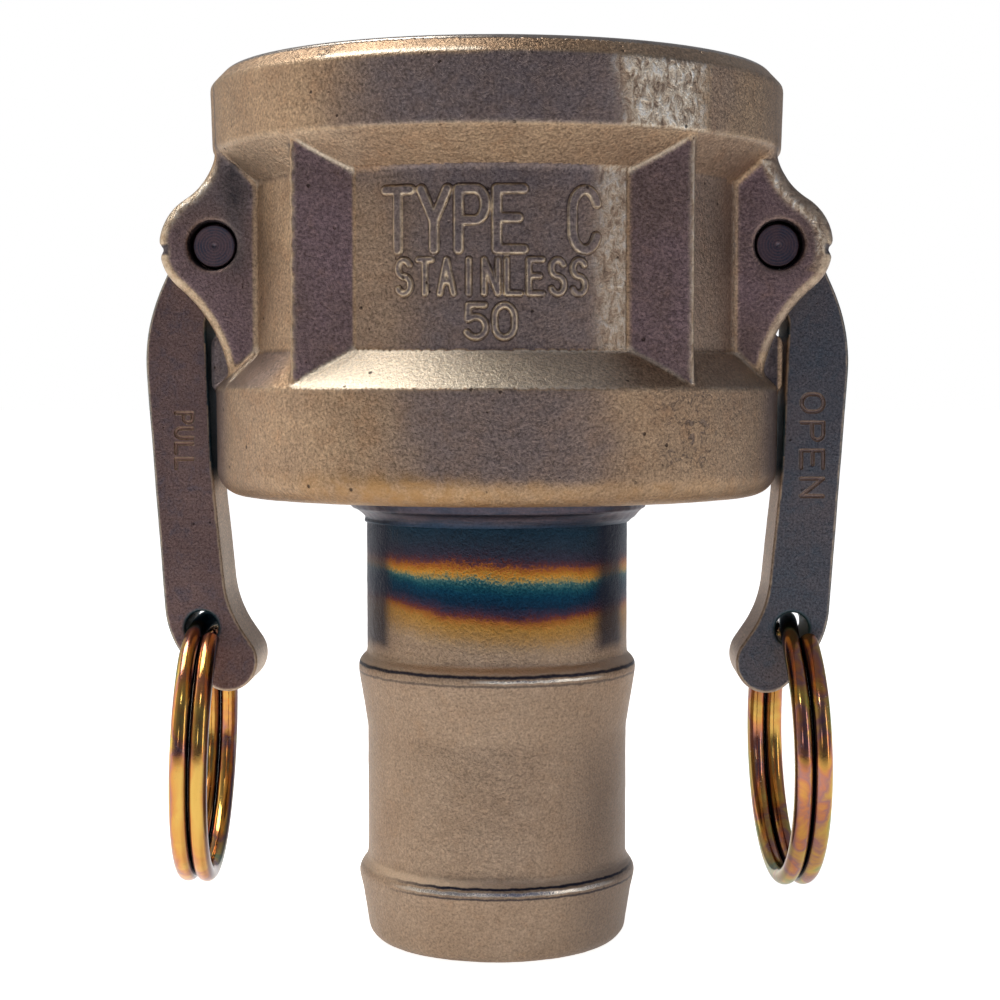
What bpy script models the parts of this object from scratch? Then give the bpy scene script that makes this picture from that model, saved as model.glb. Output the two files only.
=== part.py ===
"""Camlock coupler with a welded hose shank.

A round cast body with a socket mouth, two cam arms on pivot pins between
pairs of ears, a split ring in each arm, a flat gasket in the foot of the
socket, and a barbed hose shank held by a weld bead under the body.

Frame: origin at the centre of the shank's lower end face, +Z towards the
mouth, the arms on -X (left) and +X (right), the flat pads on -Y (front) and
+Y (back). Dimensions are in mm, meshes in metres.
"""
import bpy
import bmesh
from mathutils import Matrix, Vector
from math import sin, cos, pi, radians, atan2, asin, hypot

MM = 0.001
SIDES = (("left", -1), ("right", 1))     # signs of x
FACES = (("front", -1), ("back", 1))     # signs of y

# ---------------------------------------------------------------- dimensions
# Mesh resolution
BODY_SEGMENTS = 64
BODY_PHASE = 0.5         # turn of the body's facets, in segments
SHANK_SEGMENTS = 48
HOLE_SEGMENTS = 28       # holes and pins
FOOT_FILLET_STEPS = 4
EAR_HOLLOW_STEPS = 7
EAR_BOSS_STEPS = 14
ARM_STEP_DEG = 9.0
RING_STEPS, RING_WIRE_SEGMENTS = 58, 8

GAP = 0.3                # clearance between separate pieces
OVERSHOOT = 5.0          # how far body cutters run past the metal
ARM_OVERSHOOT = 3.0      # the same for the arm cutters

# Body outside
Z_TOP = 129.2            # mouth face
R_MOUTH_EDGE = 40.05     # outer edge of the flat mouth face
Z_CHAMFER = 126.7        # foot of the mouth chamfer
R_BAND = 42.45           # upper band
Z_BAND_LOW = 117.5
R_BAND_LOW = 42.15       # upper band at its lower edge (casting draft)
Z_WAIST_TOP = 112.4
Z_WAIST_LOW = 88.0
R_WAIST = 36.6
Z_FOOT_TOP = 82.9        # upper edge of the lower band
R_FOOT_TOP = 41.9
R_FOOT = 41.8
R_FOOT_FILLET = 3.5
Z_FLOOR = 67.1           # underside of the body

# Body inside
R_SOCKET = 32.0          # mouth bore
SOCKET_LEAD_IN = 1.0
Z_SEAT = 71.8            # floor that the gasket lies on
Z_SEAT_LIP = 78.75       # lip that holds the gasket down
R_SEAT = 33.7
R_THROAT = 24.6          # wide end of the throat cone under the gasket
Z_THROAT_LOW = 70.2

# Flat pads, front and back
PAD_HALF_WIDTH = 27.5
PAD_ROOT_Y, PAD_Y = 10.0, 31.4
PAD_LOW, PAD_HIGH = 81.6, 118.8

# Pins
PIN_X, PIN_Z = 40.85, 103.5
R_PIN = 3.175
PIN_HALF_LENGTH = 11.0
PIN_CHAMFER = 0.3
R_EAR_HOLE = 3.5
R_ARM_HOLE = 3.275

# Ears
EAR_OUT = 12.75          # outer face of an ear, from the middle plane
EAR_IN = 6.65            # inner face of an ear, half the slot
EAR_ROOT_X = 34.0        # buried in the body
EAR_LOW_X, EAR_LOW = 38.6, 81.9
EAR_HIGH_X, EAR_HIGH = 39.3, 118.6
R_BOSS = 7.95            # round end of an ear, about the pin
R_EAR_UP = 10.0          # hollow between the boss and the upper band
R_EAR_DOWN = 21.0        # hollow between the boss and the lower band
EAR_UP_DEG = 58.0        # where the upper hollow meets the boss
EAR_DOWN_DEG = -50.0     # where the lower hollow meets the boss
EAR_UP_END_DEG = 181     # band end of the upper hollow, about its own centre
EAR_DOWN_END_DEG = 178   # band end of the lower hollow, about its own centre

# Slots, and the webs that join each pair of ears under them
SLOT_LOW, SLOT_HIGH = 90.0, 112.7
SLOT_FROM_X = 20.0
SLOT_TO_X = PIN_X + 20.0
WEB_ROOT_X, WEB_X = 30.0, 42.1
WEB_LOW = 81.5
WEB_CHAMFER_X, WEB_CHAMFER_Z = 1.1, 1.7
WEB_OVERLAP_Y = 0.6      # into each ear
WEB_TRIM = 1.0           # height that the slot cuts off the web

# Arms
ARM_HALF_THICK = 6.35
# x, z, radius of the circles the outline wraps, anticlockwise; below 0 is a hollow
ARM_CIRCLES = [
    (40.1, 42.2, 4.5),       # toe
    (36.2, 51.0, 13.2),      # outer corner above the toe
    (24.85, 86.6, 27.0),     # shoulder
    (PIN_X, PIN_Z, 5.4),     # round back, about the pin
    (36.65, PIN_Z, 8.6),     # cam, offset towards the socket
    (39.9, 92.2, -3.0),      # hollow under the cam
    (-17.8, 74.9, -60.0),    # shallow hollow that clears the lower band
    (24.5, 55.7, -16.0),     # hollow above the toe
]
RING_HOLE_X, RING_HOLE_Z, RING_HOLE_R = 43.85, 47.25, 2.45

# Split rings
RING_OD = 41.07
RING_WIRE_R = 1.31
RING_PITCH = 2.82
RING_JOG_HALF_DEG = 42.0             # the wire crosses over within this angle of the top
RING_END_DEG = 27.0                  # free ends, in front of and behind the hole
RING_LIFT = 0.55                     # wire centre above the hole's centre
RING_YAW_DEG = {"left": 1.9, "right": 4.7}     # how each ring lies in its hole
RING_TILT_DEG = {"left": 2.0, "right": 0.6}    # and how far it hangs outwards

# Hose shank
R_SHANK = 19.6
R_SHANK_BORE = 16.3
Z_SHANK_TOP = 70.9
# Outside of the shank below its plain top, radius and z, downwards
UPPER_BARB = [
    (19.56, 43.4), (20.1, 42.9), (20.66, 42.2), (20.9, 41.3), (20.85, 40.4),
    (19.93, 34.9), (19.5, 32.4),
]
LOWER_BARB = [
    (19.5, 12.8), (19.85, 12.2), (20.5, 11.3), (20.84, 10.4), (20.8, 9.9),
    (20.25, 7.4), (19.58, 3.2), (19.35, 1.3), (18.6, 0.5), (17.3, 0.0),
]

# Weld bead
R_WELD_IN = R_SHANK + GAP
R_WELD_OUT = 23.6
Z_WELD_TOP = Z_FLOOR - GAP
Z_WELD_LOW = 62.8
WELD_EDGE_IN, WELD_EDGE_DROP = 0.2, 0.5      # bevel at the outer top edge
WELD_LOW_WIDTH = 0.12                        # flat at the lower end
WELD_R_POWER, WELD_Z_POWER = 0.82, 1.15      # shape of the sloping face
WELD_STATIONS = (0.0, 0.33, 0.66, 1.0)       # along the face, top to bottom

# Gasket
GASKET_R_OUT, GASKET_R_IN = 33.4, 25.4
GASKET_LOW, GASKET_HIGH = Z_SEAT + GAP, Z_SEAT_LIP - GAP


# ---------------------------------------------------------------- objects
def material(name, colour, roughness, metallic=1.0):
    mat = bpy.data.materials.new(name)
    mat.use_nodes = True
    inputs = mat.node_tree.nodes["Principled BSDF"].inputs
    inputs["Base Color"].default_value = (*colour, 1.0)
    inputs["Roughness"].default_value = roughness
    inputs["Metallic"].default_value = metallic
    return mat


def add_object(name, bm, mat=None, sharp_deg=None):
    """Object from a bmesh; with sharp_deg it is smooth but for sharper edges."""
    bmesh.ops.remove_doubles(bm, verts=bm.verts, dist=1e-6)
    bmesh.ops.recalc_face_normals(bm, faces=bm.faces)
    mesh = bpy.data.meshes.new(name)
    bm.to_mesh(mesh)
    bm.free()
    if sharp_deg is not None:
        mesh.shade_smooth()
        mesh.set_sharp_from_angle(angle=radians(sharp_deg))
    if mat is not None:
        mesh.materials.append(mat)
    obj = bpy.data.objects.new(name, mesh)
    bpy.context.scene.collection.objects.link(obj)
    return obj


def boolean(target, operation, name, bm):
    """Apply a shape to the target through a hidden helper object."""
    helper = add_object(name, bm)
    helper.hide_render = True
    helper.display_type = "WIRE"
    modifier = target.modifiers.new(f"{operation.lower()}_{name}", "BOOLEAN")
    modifier.operation = operation
    modifier.solver = "EXACT"
    modifier.object = helper


# ---------------------------------------------------------------- shape tools
def revolve(profile, segments, phase=0.0):
    """Solid of revolution about Z of a closed (radius, z) outline.
    Points on the axis close the solid."""
    bm = bmesh.new()
    angles = [2 * pi * (k + phase) / segments for k in range(segments)]
    loops = []
    for radius, z in profile:
        if radius < 1e-6:
            loops.append([bm.verts.new((0, 0, z * MM))] * segments)
        else:
            loops.append([bm.verts.new((radius * MM * cos(a), radius * MM * sin(a), z * MM))
                          for a in angles])
    for i, lower in enumerate(loops):
        upper = loops[(i + 1) % len(loops)]
        for k in range(segments):
            q = (k + 1) % segments
            # an axis point repeats: drop the repeats
            corners = list(dict.fromkeys((lower[k], lower[q], upper[q], upper[k])))
            if len(corners) > 2:
                bm.faces.new(corners)
    return bm


def prism(outline, y_from, y_to, side=1):
    """Prism of an (x, z) outline between two y planes; side -1 mirrors x."""
    bm = bmesh.new()
    base = bm.faces.new([bm.verts.new((side * x * MM, y_from * MM, z * MM))
                         for x, z in outline])
    extruded = bmesh.ops.extrude_face_region(bm, geom=[base])["geom"]
    moved = [item for item in extruded if isinstance(item, bmesh.types.BMVert)]
    bmesh.ops.translate(bm, verts=moved, vec=(0, (y_to - y_from) * MM, 0))
    return bm


def capped_tube(sections):
    """Solid through a list of sections, each a loop of (x, y, z) points."""
    bm = bmesh.new()
    loops = [[bm.verts.new((x * MM, y * MM, z * MM)) for x, y, z in section]
             for section in sections]
    for near, far in zip(loops, loops[1:]):
        for k in range(len(near)):
            q = (k + 1) % len(near)
            bm.faces.new((near[k], near[q], far[q], far[k]))
    bm.faces.new(loops[0])
    bm.faces.new(loops[-1])
    return bm


def cylinder_y(x, z, radius, half, chamfer=0.0):
    """Cylinder along Y about (x, z), ends chamfered if asked."""
    stations = [(-half, radius), (half, radius)]
    if chamfer:
        stations = [(-half, radius - chamfer), (-half + chamfer, radius),
                    (half - chamfer, radius), (half, radius - chamfer)]
    angles = [2 * pi * k / HOLE_SEGMENTS for k in range(HOLE_SEGMENTS)]
    return capped_tube([[(x + r * cos(a), y, z + r * sin(a)) for a in angles]
                        for y, r in stations])


def belt(circles, step_deg):
    """Outline of a belt run anticlockwise round circles (x, z, signed radius):
    a positive radius is a convex corner, a negative one a hollow."""
    # direction of the normal on the straight run from each circle to the next
    normals = []
    for (x0, z0, r0), (x1, z1, r1) in zip(circles, circles[1:] + circles[:1]):
        dx, dz = x1 - x0, z1 - z0
        normals.append(atan2(dz, dx) - pi / 2 + asin((r0 - r1) / hypot(dx, dz)))
    points = []
    for i, (x, z, radius) in enumerate(circles):
        start = normals[i - 1]
        turn = (normals[i] - start) % (2 * pi)
        if radius < 0:
            turn -= 2 * pi
        steps = max(1, round(abs(turn) / radians(step_deg)))
        for k in range(steps + 1):
            angle = start + turn * k / steps
            points.append((x + radius * cos(angle), z + radius * sin(angle)))
    return points


def polar(x, z, radius, deg):
    return x + radius * cos(radians(deg)), z + radius * sin(radians(deg))


def arc(x, z, radius, from_deg, to_deg, steps):
    return [polar(x, z, radius, from_deg + (to_deg - from_deg) * k / steps)
            for k in range(steps + 1)]


# ---------------------------------------------------------------- coupler body
def body_blank(mat):
    foot_corner = arc(R_FOOT - R_FOOT_FILLET, Z_FLOOR + R_FOOT_FILLET, R_FOOT_FILLET,
                      0, -90, FOOT_FILLET_STEPS)
    profile = [
        (0, Z_TOP), (R_MOUTH_EDGE, Z_TOP), (R_BAND, Z_CHAMFER), (R_BAND_LOW, Z_BAND_LOW),
        (R_WAIST, Z_WAIST_TOP), (R_WAIST, Z_WAIST_LOW), (R_FOOT_TOP, Z_FOOT_TOP),
        *foot_corner, (0, Z_FLOOR),
    ]
    return add_object("coupler_body", revolve(profile, BODY_SEGMENTS, BODY_PHASE), mat,
                      sharp_deg=35)


def add_pads(body):
    outline = [(-PAD_HALF_WIDTH, PAD_LOW), (PAD_HALF_WIDTH, PAD_LOW),
               (PAD_HALF_WIDTH, PAD_HIGH), (-PAD_HALF_WIDTH, PAD_HIGH)]
    for face, y_sign in FACES:
        boolean(body, "UNION", f"pad_{face}",
                prism(outline, y_sign * PAD_ROOT_Y, y_sign * PAD_Y))


def ear_outline():
    """Ear from the lower band, round the pin, up to the upper band."""
    down_centre = polar(PIN_X, PIN_Z, R_BOSS + R_EAR_DOWN, EAR_DOWN_DEG)
    up_centre = polar(PIN_X, PIN_Z, R_BOSS + R_EAR_UP, EAR_UP_DEG)
    return [
        (EAR_ROOT_X, EAR_LOW), (EAR_LOW_X, EAR_LOW),
        *arc(*down_centre, R_EAR_DOWN, EAR_DOWN_END_DEG, 180 + EAR_DOWN_DEG,
             EAR_HOLLOW_STEPS),
        *arc(PIN_X, PIN_Z, R_BOSS, EAR_DOWN_DEG, EAR_UP_DEG, EAR_BOSS_STEPS)[1:],
        *arc(*up_centre, R_EAR_UP, 180 + EAR_UP_DEG, EAR_UP_END_DEG, EAR_HOLLOW_STEPS)[1:],
        (EAR_HIGH_X, EAR_HIGH), (EAR_ROOT_X, EAR_HIGH),
    ]


def add_ears_and_webs(body):
    ear = ear_outline()
    web_top = SLOT_LOW + WEB_TRIM
    web = [(WEB_ROOT_X, WEB_LOW), (WEB_X - WEB_CHAMFER_X, WEB_LOW),
           (WEB_X, WEB_LOW + WEB_CHAMFER_Z), (WEB_X, web_top), (WEB_ROOT_X, web_top)]
    web_half = EAR_IN + WEB_OVERLAP_Y
    for tag, side in SIDES:
        for face, y_sign in FACES:
            boolean(body, "UNION", f"ear_{tag}_{face}",
                    prism(ear, y_sign * EAR_IN, y_sign * EAR_OUT, side))
        boolean(body, "UNION", f"web_{tag}", prism(web, -web_half, web_half, side))


def cut_socket(body):
    """Socket, gasket groove, throat and the bore for the shank."""
    r_lead_in = R_SOCKET + SOCKET_LEAD_IN
    r_bore = R_SHANK + GAP
    profile = [
        (0, Z_TOP + OVERSHOOT), (r_lead_in + OVERSHOOT, Z_TOP + OVERSHOOT),
        (r_lead_in, Z_TOP), (R_SOCKET, Z_TOP - SOCKET_LEAD_IN),
        (R_SOCKET, Z_SEAT_LIP), (R_SEAT, Z_SEAT_LIP), (R_SEAT, Z_SEAT),
        (R_THROAT, Z_SEAT), (r_bore, Z_THROAT_LOW), (r_bore, Z_FLOOR - OVERSHOOT),
        (0, Z_FLOOR - OVERSHOOT),
    ]
    boolean(body, "DIFFERENCE", "socket_cutter",
            revolve(profile, BODY_SEGMENTS, BODY_PHASE))


def cut_slots_and_pin_holes(body):
    slot = [(SLOT_FROM_X, SLOT_LOW), (SLOT_TO_X, SLOT_LOW),
            (SLOT_TO_X, SLOT_HIGH), (SLOT_FROM_X, SLOT_HIGH)]
    for tag, side in SIDES:
        boolean(body, "DIFFERENCE", f"slot_{tag}", prism(slot, -EAR_IN, EAR_IN, side))
        boolean(body, "DIFFERENCE", f"ear_hole_{tag}",
                cylinder_y(side * PIN_X, PIN_Z, R_EAR_HOLE, EAR_OUT + OVERSHOOT))


def coupler_body(mat):
    body = body_blank(mat)
    add_pads(body)
    add_ears_and_webs(body)
    cut_socket(body)
    cut_slots_and_pin_holes(body)


# ---------------------------------------------------------------- turned parts
def hose_shank(mat):
    profile = [(R_SHANK_BORE, Z_SHANK_TOP), (R_SHANK, Z_SHANK_TOP),
               *UPPER_BARB, *LOWER_BARB, (R_SHANK_BORE, 0.0)]
    add_object("hose_shank", revolve(profile, SHANK_SEGMENTS), mat, sharp_deg=30)


def weld_bead(mat):
    """Bead in the corner between the shank and the body's underside."""
    r_start, r_end = R_WELD_OUT - WELD_EDGE_IN, R_WELD_IN + WELD_LOW_WIDTH
    z_start = Z_WELD_TOP - WELD_EDGE_DROP
    slope = [(r_start - (r_start - r_end) * t ** WELD_R_POWER,
              z_start - (z_start - Z_WELD_LOW) * t ** WELD_Z_POWER)
             for t in WELD_STATIONS]
    profile = [(R_WELD_IN, Z_WELD_TOP), (R_WELD_OUT, Z_WELD_TOP),
               *slope, (R_WELD_IN, Z_WELD_LOW)]
    add_object("weld_bead", revolve(profile, SHANK_SEGMENTS), mat, sharp_deg=50)


def gasket(mat):
    profile = [(GASKET_R_IN, GASKET_HIGH), (GASKET_R_OUT, GASKET_HIGH),
               (GASKET_R_OUT, GASKET_LOW), (GASKET_R_IN, GASKET_LOW)]
    add_object("gasket", revolve(profile, BODY_SEGMENTS, BODY_PHASE), mat, sharp_deg=30)


# ---------------------------------------------------------------- arms and pins
def cam_arm(tag, side, mat):
    outline = belt(ARM_CIRCLES, ARM_STEP_DEG)
    arm = add_object(f"{tag}_cam_arm", prism(outline, -ARM_HALF_THICK, ARM_HALF_THICK, side),
                     mat, sharp_deg=40)
    # the arm turns about its pin: its origin is on the pin's axis
    pivot = Vector((side * PIN_X * MM, 0.0, PIN_Z * MM))
    arm.data.transform(Matrix.Translation(-pivot))
    arm.location = pivot
    half = ARM_HALF_THICK + ARM_OVERSHOOT
    boolean(arm, "DIFFERENCE", f"arm_bore_{tag}",
            cylinder_y(side * PIN_X, PIN_Z, R_ARM_HOLE, half))
    boolean(arm, "DIFFERENCE", f"arm_eye_{tag}",
            cylinder_y(side * RING_HOLE_X, RING_HOLE_Z, RING_HOLE_R, half))


def pivot_pin(tag, side, mat):
    pin = cylinder_y(side * PIN_X, PIN_Z, R_PIN, PIN_HALF_LENGTH, PIN_CHAMFER)
    add_object(f"{tag}_pivot_pin", pin, mat, sharp_deg=30)


# ---------------------------------------------------------------- split rings
def split_ring():
    """Two flat turns of round wire side by side about the origin's X axis. The
    wire crosses from one turn to the other at the top, so a single strand
    passes through the arm's hole and the two free ends lie in front and behind.
    The origin is the centre of the hole."""
    coil_r = RING_OD / 2 - RING_WIRE_R
    centre_z = RING_LIFT - coil_r
    wire_angles = [2 * pi * k / RING_WIRE_SEGMENTS for k in range(RING_WIRE_SEGMENTS)]
    sections = []
    for k in range(RING_STEPS + 1):
        # angle from the top, going to the front first
        deg = RING_END_DEG + (720 - 2 * RING_END_DEG) * k / RING_STEPS
        # smooth step from one turn to the other
        t = min(1.0, max(0.0, 0.5 + (deg - 360) / (2 * RING_JOG_HALF_DEG)))
        shift = RING_PITCH * (0.5 - t * t * (3 - 2 * t))
        section = []
        for a in wire_angles:
            radius = coil_r + RING_WIRE_R * cos(a)
            section.append((shift + RING_WIRE_R * sin(a),
                            -radius * sin(radians(deg)),
                            centre_z + radius * cos(radians(deg))))
        sections.append(section)
    return capped_tube(sections)


def finger_ring(tag, side, mat):
    bm = split_ring()
    turn = (Matrix.Rotation(radians(-side * RING_TILT_DEG[tag]), 4, "Y")
            @ Matrix.Rotation(radians(RING_YAW_DEG[tag]), 4, "Z"))
    bmesh.ops.transform(bm, matrix=turn, verts=bm.verts)
    ring = add_object(f"{tag}_finger_ring", bm, mat, sharp_deg=60)
    ring.location = (side * RING_HOLE_X * MM, 0.0, RING_HOLE_Z * MM)


# ---------------------------------------------------------------- build
for old in list(bpy.data.objects):
    bpy.data.objects.remove(old, do_unlink=True)

cast = material("cast_stainless", colour=(0.36, 0.30, 0.26), roughness=0.45)
turned = material("turned_stainless", colour=(0.40, 0.35, 0.30), roughness=0.38)
weld = material("weld_metal", colour=(0.20, 0.16, 0.18), roughness=0.45)
arm_steel = material("arm_stainless", colour=(0.28, 0.23, 0.22), roughness=0.45)
pin_steel = material("pin_steel", colour=(0.30, 0.26, 0.24), roughness=0.35)
zinc = material("yellow_zinc", colour=(0.72, 0.50, 0.20), roughness=0.2)
rubber = material("black_rubber", colour=(0.03, 0.03, 0.03), roughness=0.7, metallic=0.0)

coupler_body(cast)
hose_shank(turned)
weld_bead(weld)
gasket(rubber)
for side_name, side_sign in SIDES:
    cam_arm(side_name, side_sign, arm_steel)
    pivot_pin(side_name, side_sign, pin_steel)
    finger_ring(side_name, side_sign, zinc)
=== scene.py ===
"""Looks of a camlock hose coupler: fine meshes, procedural metals, studio stage.

The coupler stands on its hose shank with its axis on Z and its mouth up. The front is
-Y. The cam arms hang at -X (left) and +X (right), each with a split ring at its toe.
Sizes are in mm and degrees unless a comment says otherwise; meshes are made in metres.
"""
import bpy
import numpy as np
from itertools import product
from math import sin, cos, pi, radians, degrees, atan2, asin, sqrt
from mathutils import Matrix, Vector

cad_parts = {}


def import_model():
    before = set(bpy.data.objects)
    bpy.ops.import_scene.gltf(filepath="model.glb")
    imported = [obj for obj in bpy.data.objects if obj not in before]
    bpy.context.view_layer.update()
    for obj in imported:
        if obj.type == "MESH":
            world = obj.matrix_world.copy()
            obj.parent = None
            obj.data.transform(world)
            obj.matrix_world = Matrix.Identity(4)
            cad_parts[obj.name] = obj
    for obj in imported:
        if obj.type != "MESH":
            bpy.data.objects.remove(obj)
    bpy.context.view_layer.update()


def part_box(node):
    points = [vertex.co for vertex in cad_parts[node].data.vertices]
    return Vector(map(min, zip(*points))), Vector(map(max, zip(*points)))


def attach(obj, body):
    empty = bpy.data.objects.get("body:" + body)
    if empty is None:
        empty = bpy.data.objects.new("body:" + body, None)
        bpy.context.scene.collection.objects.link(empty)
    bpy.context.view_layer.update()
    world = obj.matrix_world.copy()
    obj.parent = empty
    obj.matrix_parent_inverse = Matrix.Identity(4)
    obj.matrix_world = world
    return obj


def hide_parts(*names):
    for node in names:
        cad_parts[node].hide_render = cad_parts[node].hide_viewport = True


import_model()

MM = 0.001

# ------------------------------------------------------------ sizes
# Body outside, from the mouth down to the foot
Z_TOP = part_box("coupler_body")[1].z / MM
Z_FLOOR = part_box("coupler_body")[0].z / MM
R_MOUTH_EDGE = 40.05
Z_CHAMFER = 126.7
R_BAND = 42.45
Z_BAND_LOW = 117.5
R_BAND_LOW = 42.15
Z_WAIST_TOP = 112.4
Z_WAIST_LOW = 88.0
R_WAIST = 36.6
Z_FOOT_TOP = 82.9
R_FOOT_TOP = 41.9
R_FOOT = 41.8
R_FOOT_FILLET = 3.9
# Body inside
R_SOCKET = 32.0
SOCKET_LEAD_IN = 1.0
Z_SEAT = 71.8
Z_SEAT_LIP = 78.75
R_SEAT = 33.7
R_THROAT = 24.6
Z_THROAT_LOW = 70.2
# Flat pads on front and back
PAD_HALF_WIDTH = 27.5
PAD_Y = 31.4
PAD_LOW = 81.6
PAD_HIGH = 118.8
# Ears, the slot between each pair and the web under it
EAR_OUT = 12.75
EAR_IN = 6.65
R_BOSS = 7.95
R_EAR_UP = 10.0
R_EAR_DOWN = 21.0
EAR_UP_DEG = 58.0
EAR_DOWN_DEG = -50.0
SLOT_LOW = 90.0
SLOT_HIGH = 112.7
SLOT_FROM_X = 20.0
WEB_X = 42.1
WEB_LOW = 81.5
Z_NICK = 102.85
# Pins and their holes
PIN_X = 40.85
PIN_Z = 103.5
R_PIN = 3.175
PIN_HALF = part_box("left_pivot_pin")[1].y / MM
R_EAR_HOLE = 3.5
R_ARM_HOLE = 3.275
# Arms: outline circles as (distance from the axis, z, radius)
ARM_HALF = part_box("left_cam_arm")[1].y / MM
CAM = (36.65, PIN_Z, 8.6)
ARM_BOSS = (PIN_X, PIN_Z, 5.4)
SHOULDER = (24.85, 86.6, 27.0)
HEEL = (36.2, 51.0, 13.2)
TOE = (40.1, 42.2, 4.5)
# the belt runs inside these, so their radii are negative
INSTEP = (24.5, 55.7, -16.0)
INNER_EDGE = (-17.8, 74.9, -60.0)
ARMPIT = (39.9, 92.2, -3.0)
# Split rings
RING_HOLE_X = 43.85
RING_HOLE_Z = 47.25
RING_HOLE_R = 2.45
RING_OD = 41.07
RING_WIRE_R = 1.372
RING_PITCH = 2.757
RING_JOG_HALF_DEG = 42.0
RING_END_DEG = 27.0
RING_LIFT = 0.55
# Hose shank
R_SHANK = 19.6
R_SHANK_BORE = 16.3
Z_SHANK_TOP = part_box("hose_shank")[1].z / MM


def detail(full, quick):
    return full


# ------------------------------------------------------------ number tools
def smooth(start, end, x):
    """Smoothstep from 0 at start to 1 at end; start may be the larger."""
    t = np.clip((np.asarray(x, float) - start) / (end - start), 0, 1)
    return t * t * (3 - 2 * t)


def bump_at(x, centre, width):
    """Bell of height 1 round centre."""
    return np.exp(-((x - centre) / width) ** 2)


def between(x, low, high):
    return (x > low) & (x < high)


def unit(vectors):
    return vectors / np.maximum(np.linalg.norm(vectors, axis=1), 1e-9)[:, None]


def lattice(cell, seed):
    """Hash of whole-number points (n, 3)."""
    x, y, z = cell.astype(np.uint32).T
    mixed = (x * np.uint32(374761393) + y * np.uint32(668265263) + z * np.uint32(2246822519)
             + np.uint32(seed * 7919 + 17) * np.uint32(3266489917))
    mixed = (mixed ^ (mixed >> np.uint32(15))) * np.uint32(2246822519)
    mixed = (mixed ^ (mixed >> np.uint32(13))) * np.uint32(3266489917)
    return mixed ^ (mixed >> np.uint32(16))


def noise3(points, size, seed):
    """Gradient noise of points (n, 3), with cells of the given size; about -1..1."""
    scaled = points / size
    cell = np.floor(scaled).astype(np.int64)
    share = scaled - cell
    fade = share * share * share * (share * (share * 6 - 15) + 10)
    out = np.zeros(len(points))
    for corner in product((0, 1), repeat=3):
        hashed = lattice(cell + corner, seed)
        weight = np.where(corner, fade, 1 - fade).prod(1)
        dot = 0
        for k in range(3):
            gradient = ((hashed >> np.uint32(10 * k)) & np.uint32(1023)).astype(float) / 511.5 - 1
            dot = dot + gradient * (share[:, k] - corner[k])
        out += weight * dot
    return out * 1.4


def fractal(points, size, octaves, seed):
    """Octaves of noise, each half the size and strength of the one before."""
    amounts = [0.5 ** k for k in range(octaves)]
    return sum(amount * noise3(points, size * amount, seed + k * 31)
               for k, amount in enumerate(amounts)) / sum(amounts)


def stroke_distance(x, z, lines):
    """Distance to the nearest of some open lines. x and z broadcast together."""
    nearest = np.full(np.broadcast(x, z).shape, 1e18)
    for line in lines:
        for (x0, z0), (x1, z1) in zip(line, line[1:]):
            run, rise = x1 - x0, z1 - z0
            squared = run * run + rise * rise
            if squared < 1e-12:
                continue
            from_x, from_z = x - x0, z - z0
            t = np.clip((from_x * run + from_z * rise) / squared, 0, 1)
            nearest = np.minimum(nearest, (from_x - t * run) ** 2 + (from_z - t * rise) ** 2)
    return np.sqrt(nearest)


def polygon_distance(x, z, outline):
    """Signed distance to a closed outline, negative inside."""
    closed = outline + outline[:1]
    inside = np.zeros(np.broadcast(x, z).shape, bool)
    for (x0, z0), (x1, z1) in zip(closed, closed[1:]):
        if abs(z1 - z0) > 1e-12:
            level = ((z0 <= z) & (z1 > z)) | ((z1 <= z) & (z0 > z))
            inside ^= level & (x < x0 + (z - z0) * (x1 - x0) / (z1 - z0))
    distance = stroke_distance(x, z, [closed])
    return np.where(inside, -distance, distance)


def rounded_max(first, second, radius):
    """Intersection of two solids, the edge between them rounded."""
    first, second = first + radius, second + radius
    return (np.minimum(np.maximum(first, second), 0)
            + np.sqrt(np.maximum(first, 0) ** 2 + np.maximum(second, 0) ** 2) - radius)


def oval(x, z, half_width, half_height, from_deg, to_deg, steps=14):
    turns = [radians(from_deg + (to_deg - from_deg) * k / steps) for k in range(steps + 1)]
    return [(x + half_width * cos(turn), z + half_height * sin(turn)) for turn in turns]


def arc(x, z, radius, from_deg, to_deg, steps):
    return oval(x, z, radius, radius, from_deg, to_deg, steps)


def belt(pulleys, step_deg):
    """Outline of a belt run anticlockwise round circles (x, z, signed radius)."""
    contacts = []
    for (x0, z0, r0), (x1, z1, r1) in zip(pulleys, pulleys[1:] + pulleys[:1]):
        run, rise = x1 - x0, z1 - z0
        contacts.append(atan2(rise, run) - pi / 2 + asin((r0 - r1) / sqrt(run * run + rise * rise)))
    points = []
    for i, (x, z, radius) in enumerate(pulleys):
        start = contacts[i - 1]
        turn = (contacts[i] - start) % (2 * pi)
        if radius < 0:
            turn -= 2 * pi
        steps = max(1, round(abs(turn) / radians(step_deg)))
        points += arc(x, z, radius, degrees(start), degrees(start + turn), steps)
    return points


def blur(values, sigma):
    """Separable Gaussian, sigma in cells."""
    reach = int(np.ceil(sigma * 3))
    weights = np.exp(-0.5 * (np.arange(-reach, reach + 1) / sigma) ** 2)
    weights = (weights / weights.sum()).astype(np.float32)
    for axis in range(values.ndim):
        margin = [(reach, reach) if k == axis else (0, 0) for k in range(values.ndim)]
        padded = np.pad(values, margin, mode="edge")
        out = np.zeros_like(values)
        for k, weight in enumerate(weights):
            window = [slice(None)] * values.ndim
            window[axis] = slice(k, k + values.shape[axis])
            out += weight * padded[tuple(window)]
        values = out
    return values


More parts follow.
